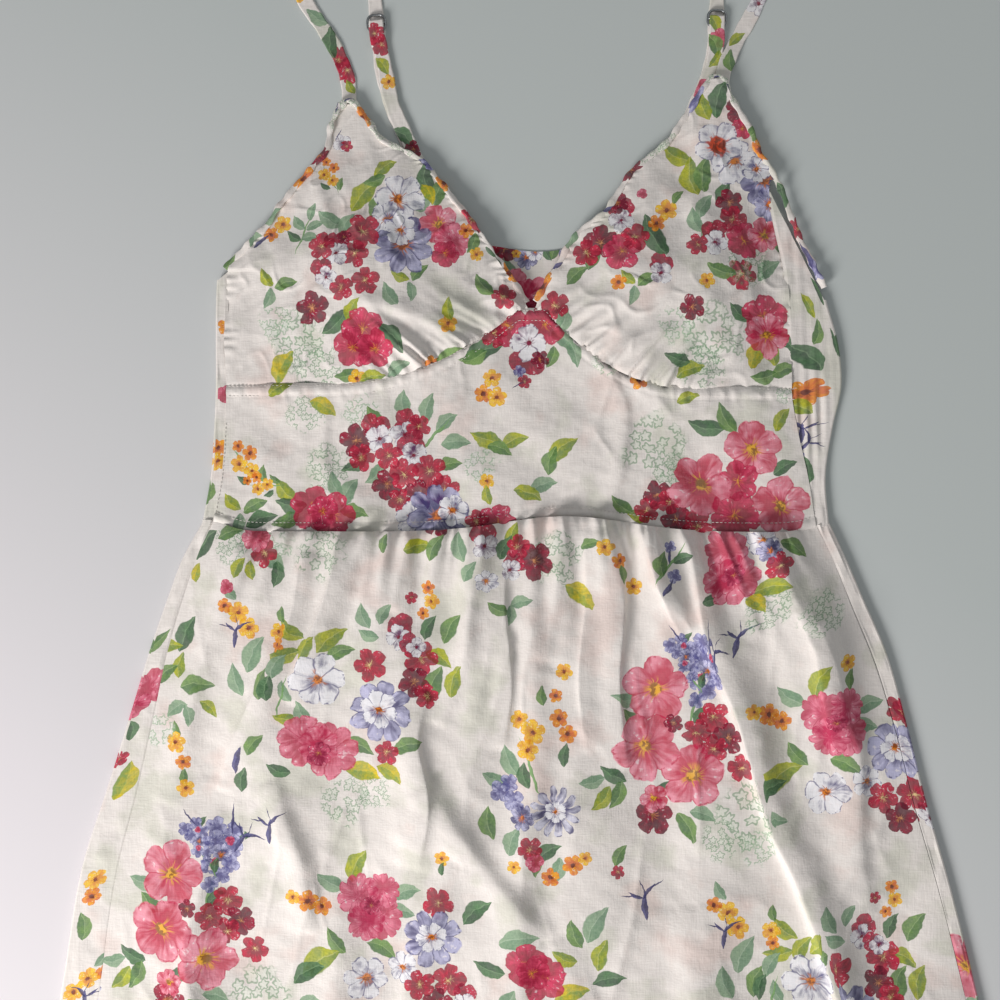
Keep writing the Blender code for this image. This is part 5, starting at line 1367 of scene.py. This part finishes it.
def ribbon_outline():
    """Section of a strap: a folded ribbon with rounded edges, a little thicker along its stitched sides."""
    across = np.array([-1, -0.93, -0.8, -0.6, -0.25, 0.25, 0.6, 0.8, 0.93, 1])
    top = np.array([0.0, 0.42, 0.5, 0.36, 0.42, 0.42, 0.36, 0.5, 0.42, 0.0])
    upper = np.stack([across * RIBBON_WIDTH / 2, top * RIBBON_DEPTH], axis=1)
    lower = np.stack([across[-2:0:-1] * RIBBON_WIDTH / 2, -top[-2:0:-1] * RIBBON_DEPTH], axis=1)
    return np.concatenate([upper, lower])


def strap(name, node, route, seed, things):
    """One ply of a shoulder strap along its route of x, y, lift and tilt."""
    count = len(route)
    line = route[:, :3]
    along = np.concatenate([[0], np.cumsum(np.linalg.norm(np.diff(line, axis=0), axis=1))])
    tilts = route[:, 3]
    sway = np.minimum(along / 12, 1) * np.minimum((along[-1] - along) / 12, 1)
    line = line + np.column_stack([0.35 * sway * np.sin(along / 9 + seed), 0 * along,
                                   0.12 * sway * np.sin(along / 6)])
    across, through = directions(line, tilts)
    outline = ribbon_outline()
    narrow = 1 + 0.05 * np.sin(along / 4.1 + seed) + 0.03 * np.sin(along / 1.7)
    widths = np.stack([narrow, 1 + 0 * narrow], axis=1)[:, None]
    rings = carried(line, across, through, outline[None] * widths)
    piece = closed_strip(name, rings)
    upright(piece)
    half = len(outline) // 2 + 1
    around = outline[:, 0].copy()
    around[half:] = 2 * RIBBON_WIDTH - around[half:]
    cloth = np.stack(np.broadcast_arrays(around[None], along[:, None]), axis=2).reshape(-1, 2)
    finish_cloth(piece, cloth, things, node)
    return piece


# What shows of the print on the straps: style, distance along the strap from its start, half size
Band = namedtuple("Band", "style along size")
STRAP_PRINT = {
    "left": [Band(*row) for row in (
        ("primrose", 30, 9), ("primrose", 38, 9), ("lime_leaf", 20, 5), ("deep_leaf", 49, 10),
        ("sage_leaf", 66, 8), ("yellow_flower", 84, 6), ("peony", 120, 12), ("mid_leaf", 150, 10),
        ("violet_anemone", 190, 12), ("mid_leaf", 220, 9),
    )],
    "right": [Band(*row) for row in (
        ("mid_leaf", 24, 7), ("lime_leaf", 38, 6), ("viola_face", 62, 9), ("primrose", 72, 8),
        ("mid_leaf", 96, 9), ("peony", 130, 12), ("deep_leaf", 170, 10), ("yellow_flower", 200, 6),
        ("mid_leaf", 216, 9),
    )],
    "left_return": [Band(*row) for row in (
        ("primrose", 8, 7), ("primrose", 15, 7), ("lime_leaf", 27, 7), ("yellow_flower", 37, 5),
        ("deep_leaf", 71, 9), ("dark_primrose", 80, 6),
    )],
    "right_return": [Band(*row) for row in (
        ("lime_leaf", 5, 7), ("pink_bud", 13, 6), ("mid_leaf", 17, 8), ("lime_leaf", 25, 6),
        ("pink_bud", 44, 7), ("lime_leaf", 60, 8),
    )],
}


def band_things(bands):
    """The print of a strap: its bands to the left and right of its middle in turn, leaning with it."""
    return [Paint(band.style, (-1) ** i * 1.0, band.along, band.size, 90 + 25 * (-1) ** i)
            for i, band in enumerate(bands)]


def shoulder_strap(side):
    route = smooth_route(STRAPS[side], 330)
    tilts = np.radians(np.abs(route[:, 3]))
    lowest = RIBBON_WIDTH / 2 * np.sin(tilts) + RIBBON_DEPTH / 2 * np.cos(tilts)
    route[:, 2] = np.maximum(route[:, 2], lowest)
    return strap(f"strap_{side}_ribbon", f"strap_{side}", route, 2.0, band_things(STRAP_PRINT[side]))


def strap_return(side):
    """The upper ply: folded round the slider's middle bar at its top end, then down onto the lower ply."""
    plan = smooth_route(RETURNS[side], 190)
    slider_y = SLIDERS[side][1]
    plan = plan[plan[:, 1] < slider_y + 1.4]
    far = slider_y - SLIDER_LENGTH / 2 - 1.5
    settled = np.clip((far - plan[:, 1]) / 9, 0, 1)
    settled = settled ** 2 * (3 - 2 * settled)
    over = FLAT + RIBBON_DEPTH + 2 * SLIDER_WIRE + 0.5
    lift = over + (FLAT + RIBBON_DEPTH + 0.25 - over) * settled
    route = np.column_stack([plan, lift, 0 * lift])
    return strap(f"strap_return_{side}_ribbon", f"strap_return_{side}", route, 5.0,
                 band_things(STRAP_PRINT[side + "_return"]))


def slider(side):
    """A figure-of-eight slider bent from wire: a rounded frame and a bar across its middle."""
    x, y, turn = SLIDERS[side]
    half_w = SLIDER_WIDTH / 2 - SLIDER_WIRE
    half_l = SLIDER_LENGTH / 2 - SLIDER_WIRE
    loop = []
    for cx, cy, start in ((1, 1, 0), (-1, 1, 90), (-1, -1, 180), (1, -1, 270)):
        for angle in np.radians(np.linspace(start, start + 90, 9)):
            loop.append((cx * (half_w - SLIDER_CORNER) + SLIDER_CORNER * np.cos(angle),
                         cy * (half_l - SLIDER_CORNER) + SLIDER_CORNER * np.sin(angle)))
    loop = np.array(loop)
    lift = FLAT + RIBBON_DEPTH / 2 + 0.3 + SLIDER_WIRE
    sides = 12
    angles = np.linspace(0, 2 * np.pi, sides, endpoint=False)
    ring = SLIDER_WIRE * np.stack([np.cos(angles), np.sin(angles)], axis=1)
    tangent = np.roll(loop, -1, axis=0) - np.roll(loop, 1, axis=0)
    tangent /= np.linalg.norm(tangent, axis=1)[:, None]
    outward = np.column_stack([tangent[:, 1], -tangent[:, 0]])
    frame_rings = np.concatenate([
        loop[:, None] + outward[:, None] * ring[None, :, :1],
        np.broadcast_to(lift + ring[None, :, 1:], (len(loop), sides, 1)),
    ], axis=2)
    bar_x = np.linspace(-half_w, half_w, 9)
    bar_parts = np.broadcast_arrays(bar_x[:, None], ring[None, :, 0], lift + ring[None, :, 1])
    bar_rings = np.stack(bar_parts, axis=2)
    vertices = np.concatenate([frame_rings.reshape(-1, 3), bar_rings.reshape(-1, 3)])
    faces = grid_faces(len(loop), sides, closed=True).tolist()
    last = (len(loop) - 1) * sides
    faces += [(last + k, k, (k + 1) % sides, last + (k + 1) % sides) for k in range(sides)]
    start = len(loop) * sides
    faces += (grid_faces(len(bar_x), sides, closed=True) + start).tolist()
    faces.append([start + k for k in range(sides)])
    faces.append([start + (len(bar_x) - 1) * sides + k for k in reversed(range(sides))])
    cosine, sine = np.cos(np.radians(turn)), np.sin(np.radians(turn))
    turned = vertices.copy()
    turned[:, 0] = x + vertices[:, 0] * cosine - vertices[:, 1] * sine
    turned[:, 1] = y + vertices[:, 0] * sine + vertices[:, 1] * cosine
    piece = plain_mesh(f"slider_{side}_wire", turned, faces)
    upright(piece)
    piece.data.materials.append(nickel)
    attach(piece, "root")
    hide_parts(f"slider_{side}")
    return piece


# ---------------------------------------------------------------- stitches

def stitch_tree():
    """Geometry nodes that lay stitches end to end along a line of edges."""
    tree = bpy.data.node_groups.new("stitch row", "GeometryNodeTree")
    tree.interface.new_socket("Geometry", in_out="INPUT", socket_type="NodeSocketGeometry")
    for name, size in (("Spacing", 2.4 * MM), ("Length", 1.7 * MM), ("Thickness", 0.42 * MM)):
        socket = tree.interface.new_socket(name, in_out="INPUT", socket_type="NodeSocketFloat")
        socket.default_value = size
    tree.interface.new_socket("Thread", in_out="INPUT", socket_type="NodeSocketMaterial")
    tree.interface.new_socket("Geometry", in_out="OUTPUT", socket_type="NodeSocketGeometry")
    given = add(tree, "NodeGroupInput")
    result = add(tree, "NodeGroupOutput")
    line = add(tree, "GeometryNodeMeshToCurve", given.outputs["Geometry"])
    points = add(tree, "GeometryNodeCurveToPoints", line.outputs[0], mode="LENGTH",
                 inputs={"Length": given.outputs["Spacing"]})
    bead = add(tree, "GeometryNodeMeshUVSphere", inputs={"Segments": 6, "Rings": 5, "Radius": 0.5})
    thick = given.outputs["Thickness"]
    size = add(tree, "ShaderNodeCombineXYZ", thick, thick, given.outputs["Length"])
    shake = add(tree, "FunctionNodeRandomValue", data_type="FLOAT",
                inputs={"Min": 0.8, "Max": 1.15, "Seed": 5})
    shake = [output for output in shake.outputs if output.enabled][0]
    size = add(tree, "ShaderNodeVectorMath", size.outputs[0], operation="SCALE", inputs={"Scale": shake})
    beads = add(tree, "GeometryNodeInstanceOnPoints", points.outputs["Points"],
                inputs={"Instance": bead.outputs["Mesh"], "Rotation": points.outputs["Rotation"],
                        "Scale": size.outputs[0]})
    real = add(tree, "GeometryNodeRealizeInstances", beads.outputs[0])
    threaded = add(tree, "GeometryNodeSetMaterial", real.outputs[0],
                   inputs={"Material": given.outputs["Thread"]})
    tree.links.new(threaded.outputs[0], result.inputs[0])
    return tree


def stitch_row(name, lines, spacing=2.4, length=1.7):
    """Stitches along one or more lines of points, as one piece."""
    vertices = np.concatenate(lines)
    edges = []
    start = 0
    for line in lines:
        edges += [(start + i, start + i + 1) for i in range(len(line) - 1)]
        start += len(line)
    mesh = bpy.data.meshes.new(name + " guide")
    mesh.from_pydata(in_frame(vertices).tolist(), edges, [])
    guide = placed(name + " guide", mesh)
    modifier = guide.modifiers.new("stitches", "NODES")
    modifier.node_group = stitches
    given = {"Spacing": spacing * MM, "Length": length * MM, "Thread": thread}
    for item in stitches.interface.items_tree:
        if item.in_out == "INPUT" and item.name in given:
            modifier[item.identifier] = given[item.name]
    graph = bpy.context.evaluated_depsgraph_get()
    made = bpy.data.meshes.new_from_object(guide.evaluated_get(graph))
    bpy.data.objects.remove(guide, do_unlink=True)
    piece = placed(name, made)
    made.shade_smooth()
    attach(piece, "root")
    return piece


def front_line(x, y, lift):
    left, right = column(BODICE, "left_seam", y), column(BODICE, "right_seam", y)
    return np.column_stack([x, y, heights_of_front(x, y, left, right) + lift])


def seam_stitches():
    """Topstitching along the underbust, the waist and the left side seam."""
    x = np.linspace(-186, 160, 206)
    waist_line = front_line(x, waist(x) + 6.6, 0.62)
    x = np.linspace(-179, 151, 262)
    near = front_line(x, underbust(x) - 1.4, 0.78)
    far = front_line(x, underbust(x) - 7.4, 0.7)
    y = np.linspace(8, 60, 60)
    seam = column(BODICE, "left_seam", y) + 0.6
    side = np.column_stack([seam, y, WRAP_LAYER + 0.6 + 0 * y])
    return [
        stitch_row("waist_topstitch", [waist_line]),
        stitch_row("underbust_topstitch", [near, far]),
        stitch_row("side_seam_topstitch", [side]),
    ]


# ---------------------------------------------------------------- floor, light and camera

def floor():
    """A plain pale surface under the dress, with painted light: paler and warmer at its lower left, darker
    and greener towards the upper right, where the window's light falls off.
    """
    mesh = bpy.data.meshes.new("floor")
    mesh.from_pydata([(-3, -3, 0), (3, -3, 0), (3, 3, 0), (-3, 3, 0)], [], [(0, 1, 2, 3)])
    surface = placed("floor", mesh)
    material, tree, shader, place = new_material("matt floor")
    # painted light on the floor: a gradient from the lit lower left to the darker upper right
    painted_falloff = add(tree, "ShaderNodeVectorMath", place, (0.62, 0.78, 0.0), operation="DOT_PRODUCT")
    amount = add(tree, "ShaderNodeMapRange", painted_falloff.outputs["Value"], -0.28, 0.16, 0.0, 1.0).outputs[0]
    tree.links.new(blend(tree, amount, colour("#E4DFE2"), colour("#CBD1CF")), shader.inputs["Base Color"])
    shader.inputs["Roughness"].default_value = 0.9
    mesh.materials.append(material)
    return surface


def light(name, place, size, power, tint):
    lamp = bpy.data.lights.new(name, "AREA")
    lamp.shape = "DISK"
    lamp.size = size
    lamp.energy = power
    lamp.color = tint
    holder = placed(name, lamp)
    holder.location = place
    aim = holder.location.to_track_quat("Z", "Y")
    holder.rotation_euler = aim.to_euler()
    return holder


CAMERA_PLACE = (12.0, 15.0, 605.0)      # over the waist, in the dress's measures
CAMERA_LEAN = 2.9                       # degrees, towards the dress's left
FOCAL_LENGTH = 36.97                    # millimetres, on a 36 mm sensor


def camera():
    view = bpy.data.cameras.new("camera")
    view.lens = FOCAL_LENGTH
    view.sensor_width = 36.0
    view.clip_start = 0.01
    holder = placed("camera", view)
    holder.location = in_frame(CAMERA_PLACE)
    holder.rotation_euler = (0.0, np.radians(CAMERA_LEAN), 0.0)
    bpy.context.scene.camera = holder


def lighting():
    light("window", (-0.95, -1.12, 0.78), 0.65, 29, (1.0, 0.975, 0.965))
    light("fill", (0.9, 1.2, 1.8), 1.8, 3.8, (0.93, 1.0, 0.98))
    world = bpy.data.worlds.new("studio")
    world.use_nodes = True
    world.node_tree.nodes["Background"].inputs["Color"].default_value = (0.95, 0.97, 1.0, 1)
    world.node_tree.nodes["Background"].inputs["Strength"].default_value = 0.24
    bpy.context.scene.world = world
    bpy.context.scene.view_settings.view_transform = "Standard"


camera()
floor()
lighting()
voile = printed_voile(painted_thing_group())
thread = sewing_thread()
nickel = satin_nickel()
stitches = stitch_tree()

back_of_skirt = skirt_back()
back_of_bodice = bodice_back()
front_of_skirt = skirt_front()
midriff = midriff_front()
left_cup = cup("cup_left_cloth", "cup_left", -1, LEFT_CUP_PRINT, 51)
right_cup = cup("cup_right_cloth", "cup_right", 1, RIGHT_CUP_PRINT, 61)
left_bindings = [
    binding("armhole_binding_left_roll", "armhole_binding_left", LEFT_ARMHOLE, -1, 3, False),
    binding("neck_binding_left_roll", "neck_binding_left", LEFT_APEX + LEFT_NECK, -1, 5, True),
]
right_bindings = [
    binding("armhole_binding_right_roll", "armhole_binding_right", RIGHT_ARMHOLE, 1, 7, False),
    binding("neck_binding_right_roll", "neck_binding_right", RIGHT_APEX + RIGHT_NECK, 1, 9, True),
]
straps = [make(side) for side in ("left", "right") for make in (shoulder_strap, strap_return, slider)]
topstitching = seam_stitches()
